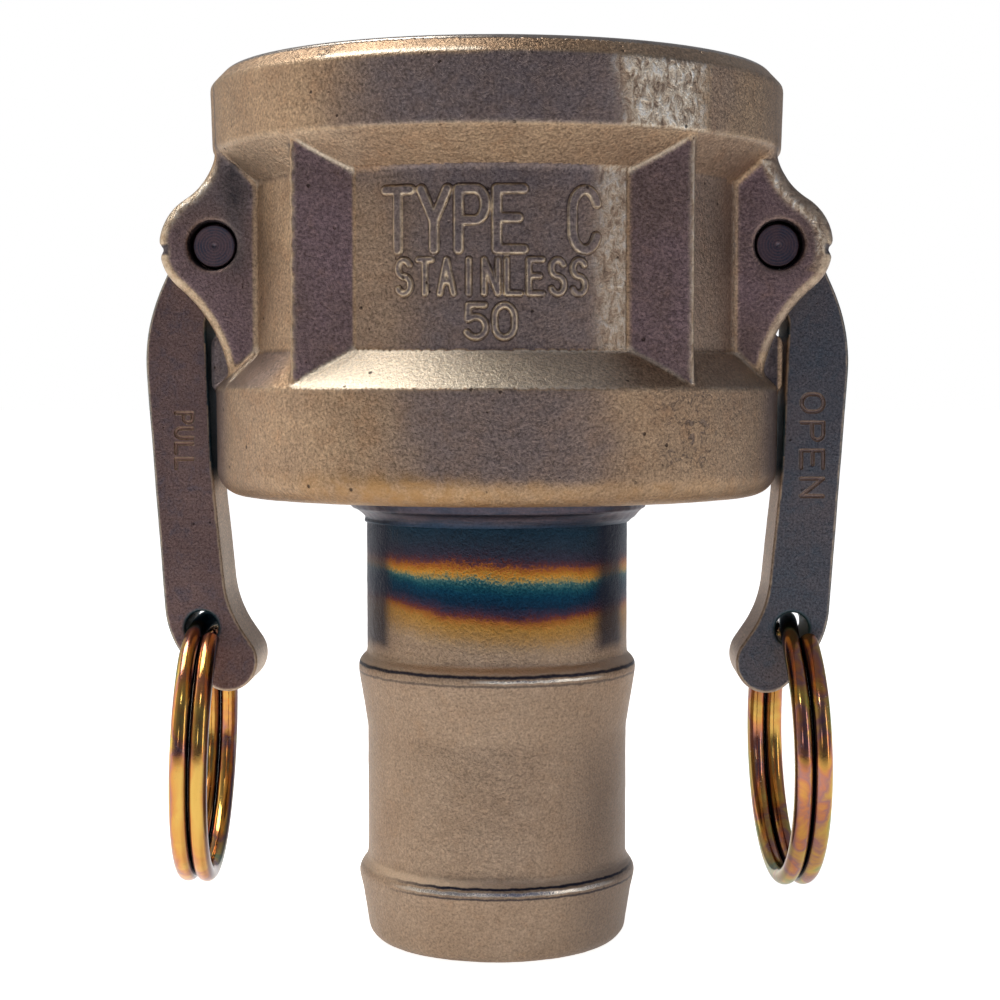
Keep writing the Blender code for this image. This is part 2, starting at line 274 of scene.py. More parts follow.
def surface_nets(values, axes):
    """Quads round the zero surface of values sampled at axes; normals point to positive."""
    inside = values < 0
    points, quads = [], []
    for axis in range(3):
        low, high = [slice(None)] * 3, [slice(None)] * 3
        low[axis], high[axis] = slice(0, -1), slice(1, None)
        low, high = tuple(low), tuple(high)
        crossed = np.nonzero(inside[low] != inside[high])
        first = values[low][crossed].astype(float)
        second = values[high][crossed].astype(float)
        t = first / (first - second)
        where = [axes[k][crossed[k]].astype(float) for k in range(3)]
        where[axis] = where[axis] * (1 - t) + axes[axis][crossed[axis] + 1] * t
        points.append(np.stack(where, 1))
        ring = []
        for step_u, step_v in ((-1, -1), (0, -1), (0, 0), (-1, 0)):
            cell = list(crossed)
            cell[(axis + 1) % 3] = cell[(axis + 1) % 3] + step_u
            cell[(axis + 2) % 3] = cell[(axis + 2) % 3] + step_v
            ring.append((cell[0] * values.shape[1] + cell[1]) * values.shape[2] + cell[2])
        ring = np.stack(ring, 1)
        quads.append(np.where(inside[low][crossed][:, None], ring, ring[:, ::-1]))
    points = np.repeat(np.concatenate(points), 4, axis=0)
    _, corners = np.unique(np.concatenate(quads).ravel(), return_inverse=True)
    count = np.bincount(corners)
    verts = np.stack([np.bincount(corners, weights=points[:, k]) / count for k in range(3)], 1)
    return verts, corners.reshape(-1, 4)


class Field:
    """Linear reading of evenly sampled values in two or three dimensions."""

    def __init__(self, values, origin, step):
        self.values, self.origin, self.step = values, np.array(origin, float), step

    def __call__(self, points):
        scaled = (points - self.origin) / self.step
        low = np.clip(np.floor(scaled).astype(np.int64), 0, np.array(self.values.shape) - 2)
        share = scaled - low
        out = 0
        for corner in product((0, 1), repeat=self.values.ndim):
            weight = np.where(corner, share, 1 - share).prod(-1)
            out = out + weight * self.values[tuple(np.moveaxis(low + corner, -1, 0))]
        return out

    def at(self, *coordinates):
        return self(np.stack(np.broadcast_arrays(*coordinates), -1))


def slope(func, points, reach):
    gradient = np.empty_like(points)
    for k in range(3):
        offset = np.zeros(3)
        offset[k] = reach
        gradient[:, k] = (func(points + offset) - func(points - offset)) / (2 * reach)
    return gradient


def settle(func, points, reach, rounds, most):
    """Moves points onto the zero surface of func; returns points and unit normals."""
    for _ in range(rounds):
        gradient = slope(func, points, reach)
        steepness = np.maximum((gradient * gradient).sum(1), 0.05)
        step = -(func(points) / steepness)[:, None] * gradient
        size = np.maximum(np.linalg.norm(step, axis=1), 1e-9)
        points = points + step * np.minimum(1, most / size)[:, None]
    return points, unit(slope(func, points, reach))


def relief(points, layers):
    """Sum of noise layers (height, cell size, seed)."""
    return sum(height * noise3(points, size, seed) for height, size, seed in layers)


def rough_up(points, normals, layers, keep):
    """Displaces points by the relief and tilts normals to suit, in the share keep."""
    gradient = slope(lambda p: relief(p, layers), points, 0.12)
    gradient -= (gradient * normals).sum(1)[:, None] * normals
    keep = keep[:, None]
    moved = points + keep * relief(points, layers)[:, None] * normals
    return moved, unit(normals + (unit(normals - gradient) - normals) * keep)


# ------------------------------------------------------------ mesh tools
def add_piece(name, verts, faces, body, node, slot, material, normals=None, **attributes):
    mesh = bpy.data.meshes.new(name)
    count, sides = faces.shape
    mesh.vertices.add(len(verts))
    mesh.vertices.foreach_set("co", (verts * MM).astype(np.float32).ravel())
    mesh.loops.add(count * sides)
    mesh.loops.foreach_set("vertex_index", faces.astype(np.int32).ravel())
    mesh.polygons.add(count)
    mesh.polygons.foreach_set("loop_start", (np.arange(count) * sides).astype(np.int32))
    mesh.polygons.foreach_set("loop_total", np.full(count, sides, np.int32))
    mesh.update(calc_edges=True)
    mesh.validate()
    mesh.polygons.foreach_set("use_smooth", np.full(len(mesh.polygons), True))
    if normals is not None:
        mesh.normals_split_custom_set_from_vertices([tuple(v) for v in normals.tolist()])
    for key, values in attributes.items():
        attribute = mesh.attributes.new(key, "FLOAT", "POINT")
        attribute.data.foreach_set("value", np.asarray(values, np.float32).ravel())
    piece = bpy.data.objects.new(name, mesh)
    bpy.context.scene.collection.objects.link(piece)
    mesh.materials.append(material)
    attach(piece, body)
    if node:
        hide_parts(node)


def fill_profile(profile, step):
    """Points along a closed (radius, z) outline, no further apart than step."""
    out = []
    for (r0, z0), (r1, z1) in zip(profile, profile[1:] + profile[:1]):
        pieces = max(1, int(np.ceil(sqrt((r1 - r0) ** 2 + (z1 - z0) ** 2) / step)))
        for j in range(pieces):
            t = j / pieces
            out.append((r0 + (r1 - r0) * t, z0 + (z1 - z0) * t))
    return np.array(out)


def ease(profile):
    """Softens the corners of a filled outline."""
    for _ in range(2):
        profile = 0.25 * np.roll(profile, 1, 0) + 0.5 * profile + 0.25 * np.roll(profile, -1, 0)
    return profile


def round_corners(outline, radii, steps):
    """A closed (radius, z) outline with each corner rounded to its own radius."""
    out = []
    for k, wanted in enumerate(radii):
        before, corner, after = (np.array(outline[(k + j - 1) % len(outline)], float)
                                 for j in range(3))
        back, ahead = before - corner, after - corner
        back_length, ahead_length = np.linalg.norm(back), np.linalg.norm(ahead)
        back, ahead = back / back_length, ahead / ahead_length
        half = np.arccos(np.clip(back @ ahead, -1, 1)) / 2
        cut = min(wanted / np.tan(half), back_length * 0.48, ahead_length * 0.48)
        radius = cut * np.tan(half)
        inward = (back + ahead) / np.linalg.norm(back + ahead)
        centre = corner + inward * radius / np.sin(half)
        first, last = corner + back * cut - centre, corner + ahead * cut - centre
        start = atan2(first[1], first[0])
        turn = (atan2(last[1], last[0]) - start + pi) % (2 * pi) - pi
        out += arc(centre[0], centre[1], radius, degrees(start), degrees(start + turn), steps)
    return out


def revolve(profile, segments):
    """Vertices, quads and normals of a closed (radius, z) outline turned round Z.

    The material lies on the outline's left, seen with radius to the right and z up."""
    turn = np.arange(segments) * 2 * pi / segments

    def spin(outward, upward):
        return np.stack([np.outer(np.cos(turn), outward), np.outer(np.sin(turn), outward),
                         np.broadcast_to(upward, (segments, len(upward)))], 2).reshape(-1, 3)

    count = len(profile)
    seg, row = np.arange(segments)[:, None], np.arange(count)[None, :]
    next_seg, next_row = (seg + 1) % segments, (row + 1) % count
    quads = np.stack([seg * count + row, next_seg * count + row,
                      next_seg * count + next_row, seg * count + next_row], 2).reshape(-1, 4)
    run, rise = (np.roll(profile, -1, 0) - np.roll(profile, 1, 0)).T
    length = np.maximum(np.hypot(run, rise), 1e-9)
    return spin(*profile.T), quads, spin(rise / length, -run / length)


# ------------------------------------------------------------ stroke lettering
ROUND_LETTER = [oval(0.5, 0.62, 0.5, 0.38, 0, 180) + oval(0.5, 0.38, 0.5, 0.38, 180, 360)
                + [(1, 0.62)]]
# Single-stroke capitals and figures in a box 1 wide and 1 tall
GLYPHS = {
    "T": [[(0, 1), (1, 1)], [(0.5, 1), (0.5, 0)]],
    "Y": [[(0, 1), (0.5, 0.48), (1, 1)], [(0.5, 0.48), (0.5, 0)]],
    "P": [[(0, 0), (0, 1)], [(0, 1)] + oval(0.62, 0.74, 0.38, 0.26, 90, -90) + [(0, 0.48)]],
    "E": [[(1, 1), (0, 1), (0, 0), (1, 0)], [(0, 0.52), (0.8, 0.52)]],
    "C": [oval(0.5, 0.66, 0.5, 0.34, 20, 180) + oval(0.5, 0.34, 0.5, 0.34, 180, 340)],
    "S": [oval(0.5, 0.755, 0.47, 0.245, 25, 270) + oval(0.5, 0.255, 0.5, 0.255, 90, -155)],
    "A": [[(0, 0), (0.5, 1), (1, 0)], [(0.19, 0.36), (0.81, 0.36)]],
    "I": [[(0.5, 0), (0.5, 1)]],
    "N": [[(0, 0), (0, 1), (1, 0), (1, 1)]],
    "L": [[(0, 1), (0, 0), (1, 0)]],
    "O": ROUND_LETTER,
    "0": ROUND_LETTER,
    "U": [[(0, 1)] + oval(0.5, 0.34, 0.5, 0.34, 180, 360) + [(1, 1)]],
    "5": [[(0.92, 1), (0.12, 1), (0.08, 0.56)] + oval(0.48, 0.32, 0.52, 0.32, 130, -150)],
}


def text_strokes(text, start, end, base, height, width_share):
    """Strokes of a line of text from start to end standing on base."""
    pitch = (end - start) / (len(text) - 1 + width_share)
    width = pitch * width_share
    return [[(start + k * pitch + x * width, base + z * height) for x, z in line]
            for k, letter in enumerate(text) if letter != " " for line in GLYPHS[letter]]


# ------------------------------------------------------------ node helpers
class Value:
    """A node output that takes +, - and * by adding Math nodes."""

    def __init__(self, nodes, socket):
        self.nodes, self.socket = nodes, socket

    def __add__(self, other):
        return self.nodes.math("ADD", self, other)

    def __radd__(self, other):
        return self.nodes.math("ADD", other, self)

    def __sub__(self, other):
        return self.nodes.math("SUBTRACT", self, other)

    def __rsub__(self, other):
        return self.nodes.math("SUBTRACT", other, self)

    def __mul__(self, other):
        return self.nodes.math("MULTIPLY", self, other)

    def __rmul__(self, other):
        return self.nodes.math("MULTIPLY", other, self)


class Nodes:
    """Short calls that add shader nodes to a tree."""

    def __init__(self, tree):
        self.tree = tree

    def link(self, value, socket):
        """Links a Value or sets a plain number, vector or colour."""
        if isinstance(value, Value):
            self.tree.links.new(value.socket, socket)
        elif isinstance(value, tuple) and len(value) == 3 and socket.type == "RGBA":
            socket.default_value = (*value, 1.0)
        else:
            socket.default_value = value

    def add(self, kind, inputs, **settings):
        node = self.tree.nodes.new("ShaderNode" + kind)
        for key, value in settings.items():
            setattr(node, key, value)
        for key, value in inputs.items():
            self.link(value, node.inputs[key])
        return node

    def value(self, kind, inputs, output=0, **settings):
        return Value(self, self.add(kind, inputs, **settings).outputs[output])

    def xyz(self, vector):
        return [Value(self, out) for out in self.add("SeparateXYZ", {0: vector}).outputs]

    def math(self, operation, first, second=0.0):
        return self.value("Math", {0: first, 1: second, 2: 0.0}, operation=operation)

    def ramp(self, value, over=(0.3, 0.7), to=(0.0, 1.0), interpolation="SMOOTHSTEP"):
        """Maps the range over to the range to, smoothly."""
        return self.value("MapRange", {"Value": value, "From Min": over[0], "From Max": over[1],
                                       "To Min": to[0], "To Max": to[1]},
                          "Result", interpolation_type=interpolation)

    def linear(self, value, over=(0.3, 0.7), to=(0.0, 1.0)):
        return self.ramp(value, over, to, "LINEAR")

    def mix(self, factor, first, second, mode="MIX"):
        return self.value("Mix", {"Factor": factor, 6: first, 7: second}, 2,
                          data_type="RGBA", blend_type=mode)

    def multiply(self, first, second):
        return self.mix(1.0, first, second, "MULTIPLY")

    def colour_ramp(self, value, stops, interpolation="LINEAR"):
        """Colour ramp with stops (position, colour)."""
        node = self.add("ValToRGB", {"Fac": value})
        ramp = node.color_ramp
        ramp.interpolation = interpolation
        while len(ramp.elements) > 1:
            ramp.elements.remove(ramp.elements[-1])
        ramp.elements[0].position = stops[0][0]
        ramp.elements[0].color = (*stops[0][1], 1)
        for position, colour in stops[1:]:
            ramp.elements.new(position).color = (*colour, 1)
        return Value(self, node.outputs["Color"])


class Material(Nodes):
    """A material on the Principled shader, with textures in mm of object space."""

    def __init__(self, name):
        self.material = bpy.data.materials.new(name)
        self.material.use_nodes = True
        super().__init__(self.material.node_tree)
        place = self.value("TexCoord", {}, "Object")
        self.mm = self.value("VectorMath", {0: place, "Scale": 1000.0}, operation="SCALE")

    def noise(self, scale, detail=2.0, rough=0.5, distortion=0.0, stretch=None):
        vector = self.mm
        if stretch:
            vector = self.value("VectorMath", {0: vector, 1: stretch}, operation="MULTIPLY")
        return self.value("TexNoise", {"Scale": scale, "Detail": detail, "Roughness": rough,
                                       "Distortion": distortion, "Vector": vector}, "Fac")

    def pits(self, scale, over, patch_scale, patch_over):
        """Small round pits, in scattered patches only."""
        dots = self.value("TexVoronoi", {"Scale": scale, "Vector": self.mm}, "Distance")
        return self.ramp(dots, over) * self.ramp(self.noise(scale=patch_scale), patch_over)

    def attribute(self, name):
        return self.value("Attribute", {}, "Fac", attribute_name=name)

    def finish(self, colour, roughness, height, strength, distance, metallic=1.0):
        """Feeds the shader; height is the bump, distance its depth in metres."""
        bump = self.value("Bump", {"Strength": strength, "Distance": distance,
                                   "Height": height}, "Normal")
        shader = self.tree.nodes["Principled BSDF"].inputs
        for key, value in (("Base Color", colour), ("Roughness", roughness),
                           ("Metallic", metallic), ("Normal", bump)):
            self.link(value, shader[key])
        return self.material


def tint(colour, *factors):
    return tuple(channel * factor for channel, factor in zip(colour, factors))


# ------------------------------------------------------------ materials
def cast_material():
    """Investment-cast stainless: warm, grained, with a painted dark reflection on the flat
    faces, edges bright from wear and painted highlights, and small pits."""
    tan = (0.45, 0.315, 0.205)
    dark = (0.220, 0.152, 0.138)
    mat = Material("cast_stainless")
    flat, edge, machined = (mat.attribute(name) for name in ("flat", "edge", "machined"))
    tone, gold = mat.attribute("tone"), mat.attribute("gold")
    cloud = mat.noise(scale=0.07, detail=5, rough=0.6)
    patch = mat.noise(scale=0.35, detail=4, rough=0.6, distortion=0.4)
    grain = mat.noise(scale=2.6, detail=3, rough=0.65)
    fine = mat.noise(scale=6.5, rough=0.6)
    base = mat.mix(mat.ramp(cloud, over=(0.32, 0.68)),
                   tint(tan, 0.84, 0.82, 0.82), tint(tan, 1.1, 1.1, 1.08))
    base = mat.mix(mat.ramp(patch, over=(0.45, 0.75)) * 0.35, base, tint(tan, 0.9, 0.72, 0.58))
    # flat faces darker: a painted dark reflection
    face = mat.mix(mat.ramp(cloud), dark, tint(dark, 1.25, 1.25, 1.45))
    face = mat.mix(mat.ramp(patch, over=(0.55, 0.8), to=(0.0, 0.5)), face,
                   tint(dark, 1.5, 1.3, 1.1))
    base = mat.mix(flat, base, face)
    # fine speckle of the shell mould
    speck = mat.linear(grain, over=(0.33, 0.7), to=(0.56, 1.44))
    base = mat.multiply(base, speck)
    sparkle_area = mat.ramp(mat.noise(scale=0.9), over=(0.45, 0.7), to=(0.1, 0.6))
    base = mat.mix(mat.ramp(fine, over=(0.66, 0.76)) * sparkle_area, base, (0.72, 0.62, 0.5))
    # painted light and shade: under 0 painted shade, over 0 painted light
    shaded = mat.mix(mat.ramp(patch), (0.225, 0.185, 0.185), (0.250, 0.192, 0.175))
    base = mat.mix(mat.ramp(tone, over=(0.0, -1.0)), base, mat.multiply(shaded, speck))
    pale = mat.multiply((0.80, 0.70, 0.56), mat.linear(grain, over=(0.33, 0.7), to=(0.72, 1.25)))
    base = mat.mix(mat.ramp(tone, over=(0.0, 1.0)), base, pale)
    # gold: painted highlights, as patches on the band and lines along ear and pad edges
    wavy = mat.noise(scale=0.95, detail=5, rough=0.72, distortion=0.6, stretch=(1.0, 1.0, 0.62))
    base = mat.mix(gold, base, mat.colour_ramp(wavy, [
        (0.34, (0.17, 0.12, 0.09)), (0.44, (0.50, 0.38, 0.28)),
        (0.53, (0.86, 0.74, 0.58)), (0.64, (1.0, 0.98, 0.92))]))
    rust = mat.attribute("rust") * mat.ramp(patch, over=(0.3, 0.65), to=(0.3, 1.0))
    base = mat.mix(rust, base, (0.42, 0.235, 0.085))
    scar = mat.attribute("scar") * mat.ramp(
        mat.noise(scale=0.85, detail=4, rough=0.7, distortion=0.8), over=(0.53, 0.63))
    base = mat.mix(scar * 0.5, base, (0.085, 0.080, 0.095))
    # edges bright from wear and painted highlights; hollows darkened with painted shade
    wear_and_highlight = edge * mat.ramp(mat.noise(scale=0.8, detail=3, rough=0.6),
                           over=(0.34, 0.62), to=(0.22, 1.0))
    base = mat.mix(wear_and_highlight, base, (0.74, 0.60, 0.43))
    base = mat.mix(mat.attribute("cavity") * mat.ramp(patch, to=(0.35, 0.85)), base,
                   (0.045, 0.045, 0.055))
    base = mat.mix(machined, base,
                   mat.mix(mat.ramp(patch), (0.44, 0.39, 0.34), (0.56, 0.5, 0.44)))
    pit = mat.pits(0.42, over=(0.13, 0.07), patch_scale=0.16, patch_over=(0.52, 0.6))
    pit = pit * (1 - machined)
    base = mat.mix(pit * 0.8, base, (0.03, 0.02, 0.02))
    rough = mat.linear(grain, to=(0.36, 0.50)) + flat * 0.02 - wear_and_highlight * 0.12 - gold * 0.10
    rough = mat.mix(machined, rough, mat.linear(mat.noise(scale=1.2), to=(0.24, 0.34)))
    height = grain * 1.0 + fine * 0.35 + mat.noise(scale=1.1) * 0.9 - (pit + scar * 0.5) * 2.0
    height = height * (1 - machined * 0.85)
    # turning marks on machined faces; the bump rolls much more under the painted highlight patches
    marks = mat.math("SINE", mat.xyz(mat.mm)[2] * 18.0) * (machined * 0.06)
    height = height + marks + wavy * 4.0 * gold
    return mat.finish(base, rough, height, strength=1.0, distance=0.00011)


def arm_material(name, face_low, face_high, face_patch, side_low, side_high, stamp_colour):
    """Cast arm: faces darkened by a painted dark reflection, sides paler as painted light."""
    mat = Material(name)
    cloud = mat.noise(scale=0.09, detail=4, rough=0.6)
    patch = mat.noise(scale=0.45, detail=4, rough=0.65, distortion=0.5)
    grain = mat.noise(scale=3.0, detail=3, rough=0.65)
    fine = mat.noise(scale=7.0, rough=0.6)
    face = mat.mix(mat.ramp(cloud), face_low, face_high)
    face = mat.mix(mat.ramp(patch, over=(0.45, 0.75), to=(0.0, 0.75)), face, face_patch)
    side = mat.mix(mat.ramp(cloud), side_low, side_high)
    # faces in the dark colours (painted dark reflection), sides in the pale ones (painted light)
    base = mat.mix(mat.attribute("flat"), side, face)
    base = mat.multiply(base, mat.linear(grain, over=(0.3, 0.72), to=(0.50, 1.52)))
    base = mat.mix(mat.ramp(fine, over=(0.64, 0.76)) * 0.4, base, (0.42, 0.36, 0.33))
    base = mat.mix(mat.attribute("shadow"), base, (0.018, 0.085, 0.125))
    # edges bright from wear and painted highlights
    wear_and_highlight = mat.attribute("edge") * mat.ramp(mat.noise(scale=0.7, detail=3, rough=0.6),
                                            over=(0.4, 0.62), to=(0.1, 0.9))
    base = mat.mix(wear_and_highlight, base, (0.58, 0.46, 0.34))
    base = mat.mix(mat.attribute("stamp") * 0.55, base, stamp_colour)
    pit = mat.pits(0.5, over=(0.12, 0.06), patch_scale=0.2, patch_over=(0.54, 0.62))
    base = mat.mix(pit * 0.7, base, (0.02, 0.015, 0.015))
    height = grain + fine * 0.4 + mat.noise(scale=0.9) * 0.8 - pit * 2.0
    return mat.finish(base, mat.linear(grain, to=(0.40, 0.54)), height,
                      strength=0.9, distance=0.00009)


def shank_material():
    """Blasted stainless tube with weld heat colours under the bead."""
    mat = Material("shank_metal")
    z = mat.xyz(mat.mm)[2]
    inside, barb = mat.attribute("inside"), mat.attribute("line")
    cloud = mat.noise(scale=0.10, detail=5, rough=0.6)
    patch = mat.noise(scale=0.5, detail=3, rough=0.6)
    grain = mat.noise(scale=2.8, detail=3, rough=0.65)
    fine = mat.noise(scale=6.5, rough=0.6)
    tan = mat.mix(mat.ramp(cloud), (0.385, 0.275, 0.190), (0.435, 0.320, 0.228))
    tan = mat.mix(mat.ramp(patch, over=(0.5, 0.8), to=(0, 0.4)), tan, (0.40, 0.26, 0.16))
    tan = mat.multiply(tan, mat.linear(grain, over=(0.33, 0.7), to=(0.66, 1.34)))
    # heat colours: height, raised or lowered round the tube, edges made ragged by the grain
    ragged = (grain - 0.5) * 1.7 * (1.0 + mat.attribute("speckled") * 1.4)
    ragged = ragged + (mat.noise(scale=0.35, detail=3, rough=0.6) - 0.5) * 1.3
    level = z + mat.attribute("heat_shift") + ragged
    heat = mat.colour_ramp(mat.linear(level, over=(44.0, 66.0)), [
        (0.00, (0.46, 0.345, 0.24)), (0.10, (0.42, 0.29, 0.17)), (0.17, (0.43, 0.255, 0.100)),
        (0.235, (0.46, 0.245, 0.062)), (0.275, (0.40, 0.15, 0.035)),
        (0.305, (0.17, 0.050, 0.045)), (0.335, (0.055, 0.040, 0.070)),
        (0.385, (0.012, 0.034, 0.070)), (0.45, (0.008, 0.052, 0.098)),
        (0.50, (0.015, 0.085, 0.115)), (0.535, (0.070, 0.17, 0.165)),
        (0.555, (0.34, 0.29, 0.13)), (0.590, (0.62, 0.30, 0.050)),
        (0.627, (0.44, 0.145, 0.032)), (0.66, (0.13, 0.048, 0.055)),
        (0.70, (0.050, 0.044, 0.068)), (0.78, (0.030, 0.046, 0.070)),
        (0.88, (0.018, 0.044, 0.072)), (1.00, (0.034, 0.042, 0.060)),
    ])
    heat = mat.mix(0.6, heat, mat.multiply(heat, mat.linear(grain, over=(0.32, 0.7),
                                                            to=(0.55, 1.45))))
    fade = mat.ramp(level, over=(44.5, 47.5))
    base = mat.mix(fade, tan, heat)
    base = mat.mix(mat.attribute("shade"), base, (0.016, 0.021, 0.044))
    # the edges of the two barbs: painted dark reflection lines with a painted highlight line
    # between
    uneven_z = z + (mat.noise(scale=0.5, detail=3, rough=0.6) - 0.5) * 0.45

    def band(centre, half_width):
        off = mat.math("ABSOLUTE", uneven_z - centre)
        return mat.ramp(off, over=(half_width, half_width * 0.3))

    def either(first, second):
        return mat.math("MAXIMUM", first, second)

    lines = either(band(41.85, 0.36) * 0.95, band(40.55, 0.26) * 0.55)
    lines = either(lines, either(band(11.35, 0.26), band(9.95, 0.24) * 0.8) * barb)
    lines = lines * (1 - inside)
    # painted light on the barb slopes
    slopes = either(band(42.75, 1.0), band(11.9, 0.9))
    base = mat.mix(slopes * (0.5 * (1 - inside)), base, (0.78, 0.61, 0.45))
    # painted shade on the lower barbs to the right
    base = mat.mix(mat.attribute("dusk"), base, (0.14, 0.115, 0.105))
    base = mat.mix(lines, base, (0.022, 0.024, 0.040))
    # painted highlight along the barb edges
    bright = mat.attribute("bright") * either(band(41.2, 0.27), band(10.65, 0.34))
    base = mat.mix(bright, base, (0.97, 0.92, 0.82))
    base = mat.mix(inside, base,
                   mat.mix(mat.ramp(patch), (0.36, 0.30, 0.25), (0.46, 0.40, 0.34)))
    sparkle = mat.ramp(fine, over=(0.64, 0.76)) * 0.4 * (1 - fade)
    base = mat.mix(sparkle, base, (0.78, 0.68, 0.56))
    height = grain + fine * 0.35 + mat.noise(scale=1.2) * 0.8
    return mat.finish(base, mat.linear(grain, to=(0.36, 0.48)) - bright * 0.24, height,
                      strength=1 - bright * 0.8, distance=0.00011)


def weld_material():
    """Dark, heat-tinted weld metal, bluest along its lower edge."""
    mat = Material("weld_metal")
    grain = mat.noise(scale=2.6, detail=3, rough=0.6)
    streak = mat.noise(scale=1.0, detail=3, rough=0.6, stretch=(0.25, 0.25, 2.2))
    base = mat.mix(mat.ramp(mat.noise(scale=0.16, detail=4, rough=0.6)),
                   (0.070, 0.066, 0.090), (0.125, 0.098, 0.110))
    base = mat.mix(mat.ramp(streak, over=(0.45, 0.7), to=(0.0, 0.6)), base,
                   (0.035, 0.055, 0.085))
    base = mat.mix(mat.ramp(mat.xyz(mat.mm)[2], over=(64.4, 62.9), to=(0, 0.85)), base,
                   (0.016, 0.042, 0.075))
    base = mat.multiply(base, mat.linear(grain, to=(0.75, 1.3)))
    return mat.finish(base, mat.linear(grain, to=(0.34, 0.46)), grain + streak * 1.2,
                      strength=0.5, distance=0.00008)


def pin_material():
    mat = Material("pin_steel")
    grain = mat.noise(scale=4.0, detail=3, rough=0.6)
    base = mat.mix(mat.ramp(mat.noise(scale=0.5, detail=3, rough=0.6)),
                   (0.075, 0.080, 0.110), (0.150, 0.105, 0.115))
    base = mat.mix(mat.ramp(mat.attribute("turned"), over=(0.3, 0.95), to=(0.0, 0.45)), base,
                   (0.24, 0.14, 0.14))
    base = mat.multiply(base, mat.linear(grain, to=(0.8, 1.2)))
    return mat.finish(base, mat.linear(grain, to=(0.30, 0.42)), grain,
                      strength=0.3, distance=0.00005)


def zinc_material():
    """Yellow-passivated zinc: glossy gold with a thin-film play of colour."""
    mat = Material("yellow_zinc")
    film = mat.noise(scale=0.085, detail=4, rough=0.55, distortion=1.2)
    facing = mat.value("LayerWeight", {"Blend": 0.45}, "Facing")
    film = film * 1.55 + facing * 0.42 - (0.44 + mat.attribute("golden") * 0.05)
    base = mat.colour_ramp(film, [
        (0.00, (0.72, 0.44, 0.100)), (0.18, (0.76, 0.48, 0.120)), (0.33, (0.72, 0.35, 0.090)),
        (0.43, (0.62, 0.24, 0.120)), (0.50, (0.44, 0.21, 0.190)), (0.58, (0.64, 0.34, 0.120)),
        (0.68, (0.70, 0.47, 0.110)), (0.78, (0.46, 0.44, 0.140)), (0.86, (0.28, 0.40, 0.200)),
        (0.94, (0.68, 0.46, 0.120)), (1.00, (0.72, 0.48, 0.110)),
    ])
    streak = mat.noise(scale=0.8, detail=4, rough=0.65)
    base = mat.mix(mat.ramp(streak, over=(0.55, 0.85), to=(0.0, 0.5)), base, (0.55, 0.30, 0.10))
    scuff = (mat.ramp(mat.noise(scale=2.2, detail=4, rough=0.7), over=(0.62, 0.72))
             * mat.ramp(mat.noise(scale=0.13), over=(0.5, 0.62)))
    base = mat.mix(scuff * 0.6, base, (0.60, 0.56, 0.50))
    # painted shade between the coils and on their side to the body, and next in the arm's hole
    base = mat.mix(mat.attribute("groove") * 0.94, base, (0.024, 0.042, 0.080))
    base = mat.mix(mat.attribute("in_hole"), base, (0.040, 0.19, 0.28))
    base = mat.mix(mat.attribute("cut_end"), base, (0.30, 0.26, 0.22))
    rough = mat.linear(streak, over=(0.3, 0.8), to=(0.11, 0.22)) + scuff * 0.25
    return mat.finish(base, rough, mat.noise(scale=3.0), strength=0.10, distance=0.00005)


def rubber_material():
    mat = Material("black_rubber")
    grain = mat.noise(scale=3.5, detail=4, rough=0.65)
    base = mat.mix(mat.ramp(mat.noise(scale=0.2, detail=3, rough=0.6)),
                   (0.013, 0.013, 0.014), (0.030, 0.029, 0.029))
    dust = mat.ramp(mat.noise(scale=1.4, detail=4, rough=0.7), over=(0.58, 0.72)) * 0.35
    base = mat.mix(dust, base, (0.085, 0.080, 0.074))
    return mat.finish(base, mat.linear(grain, to=(0.52, 0.72)), grain,
                      strength=0.35, distance=0.00006, metallic=0.0)


CAST = cast_material()
SHANK = shank_material()
WELD = weld_material()
PIN = pin_material()
ZINC = zinc_material()
RUBBER = rubber_material()
# brown faces on the left arm, slate on the right
ARM_LEFT = arm_material(
    "arm_stainless_left", face_low=(0.175, 0.115, 0.108), face_high=(0.225, 0.150, 0.138),
    face_patch=(0.125, 0.108, 0.130), side_low=(0.52, 0.41, 0.31), side_high=(0.66, 0.53, 0.41),
    stamp_colour=(0.30, 0.17, 0.12))
ARM_RIGHT = arm_material(
    "arm_stainless_right", face_low=(0.110, 0.115, 0.135), face_high=(0.150, 0.135, 0.145),
    face_patch=(0.090, 0.112, 0.140), side_low=(0.44, 0.335, 0.255),
    side_high=(0.56, 0.43, 0.335), stamp_colour=(0.26, 0.17, 0.14))


# ------------------------------------------------------------ coupler body
# Closed outlines as (radius, z); the bore runs past the ends of the body
BODY_OUTER = [(-5, Z_TOP), (R_MOUTH_EDGE, Z_TOP), (R_BAND, Z_CHAMFER), (R_BAND_LOW, Z_BAND_LOW),
              (R_WAIST, Z_WAIST_TOP), (R_WAIST, Z_WAIST_LOW), (R_FOOT_TOP, Z_FOOT_TOP),
              *arc(R_FOOT - R_FOOT_FILLET, Z_FLOOR + R_FOOT_FILLET, R_FOOT_FILLET, 0, -90, 16),
              (-5, Z_FLOOR)]
BODY_BORE = [(-5, Z_TOP + 5), (R_SOCKET + SOCKET_LEAD_IN + 5, Z_TOP + 5),
             (R_SOCKET + SOCKET_LEAD_IN, Z_TOP), (R_SOCKET, Z_TOP - SOCKET_LEAD_IN),
             (R_SOCKET, Z_SEAT_LIP), (R_SEAT, Z_SEAT_LIP), (R_SEAT, Z_SEAT),
             (R_THROAT, Z_SEAT), (R_SHANK + 0.3, Z_THROAT_LOW), (R_SHANK + 0.3, Z_FLOOR - 5),
             (-5, Z_FLOOR - 5)]


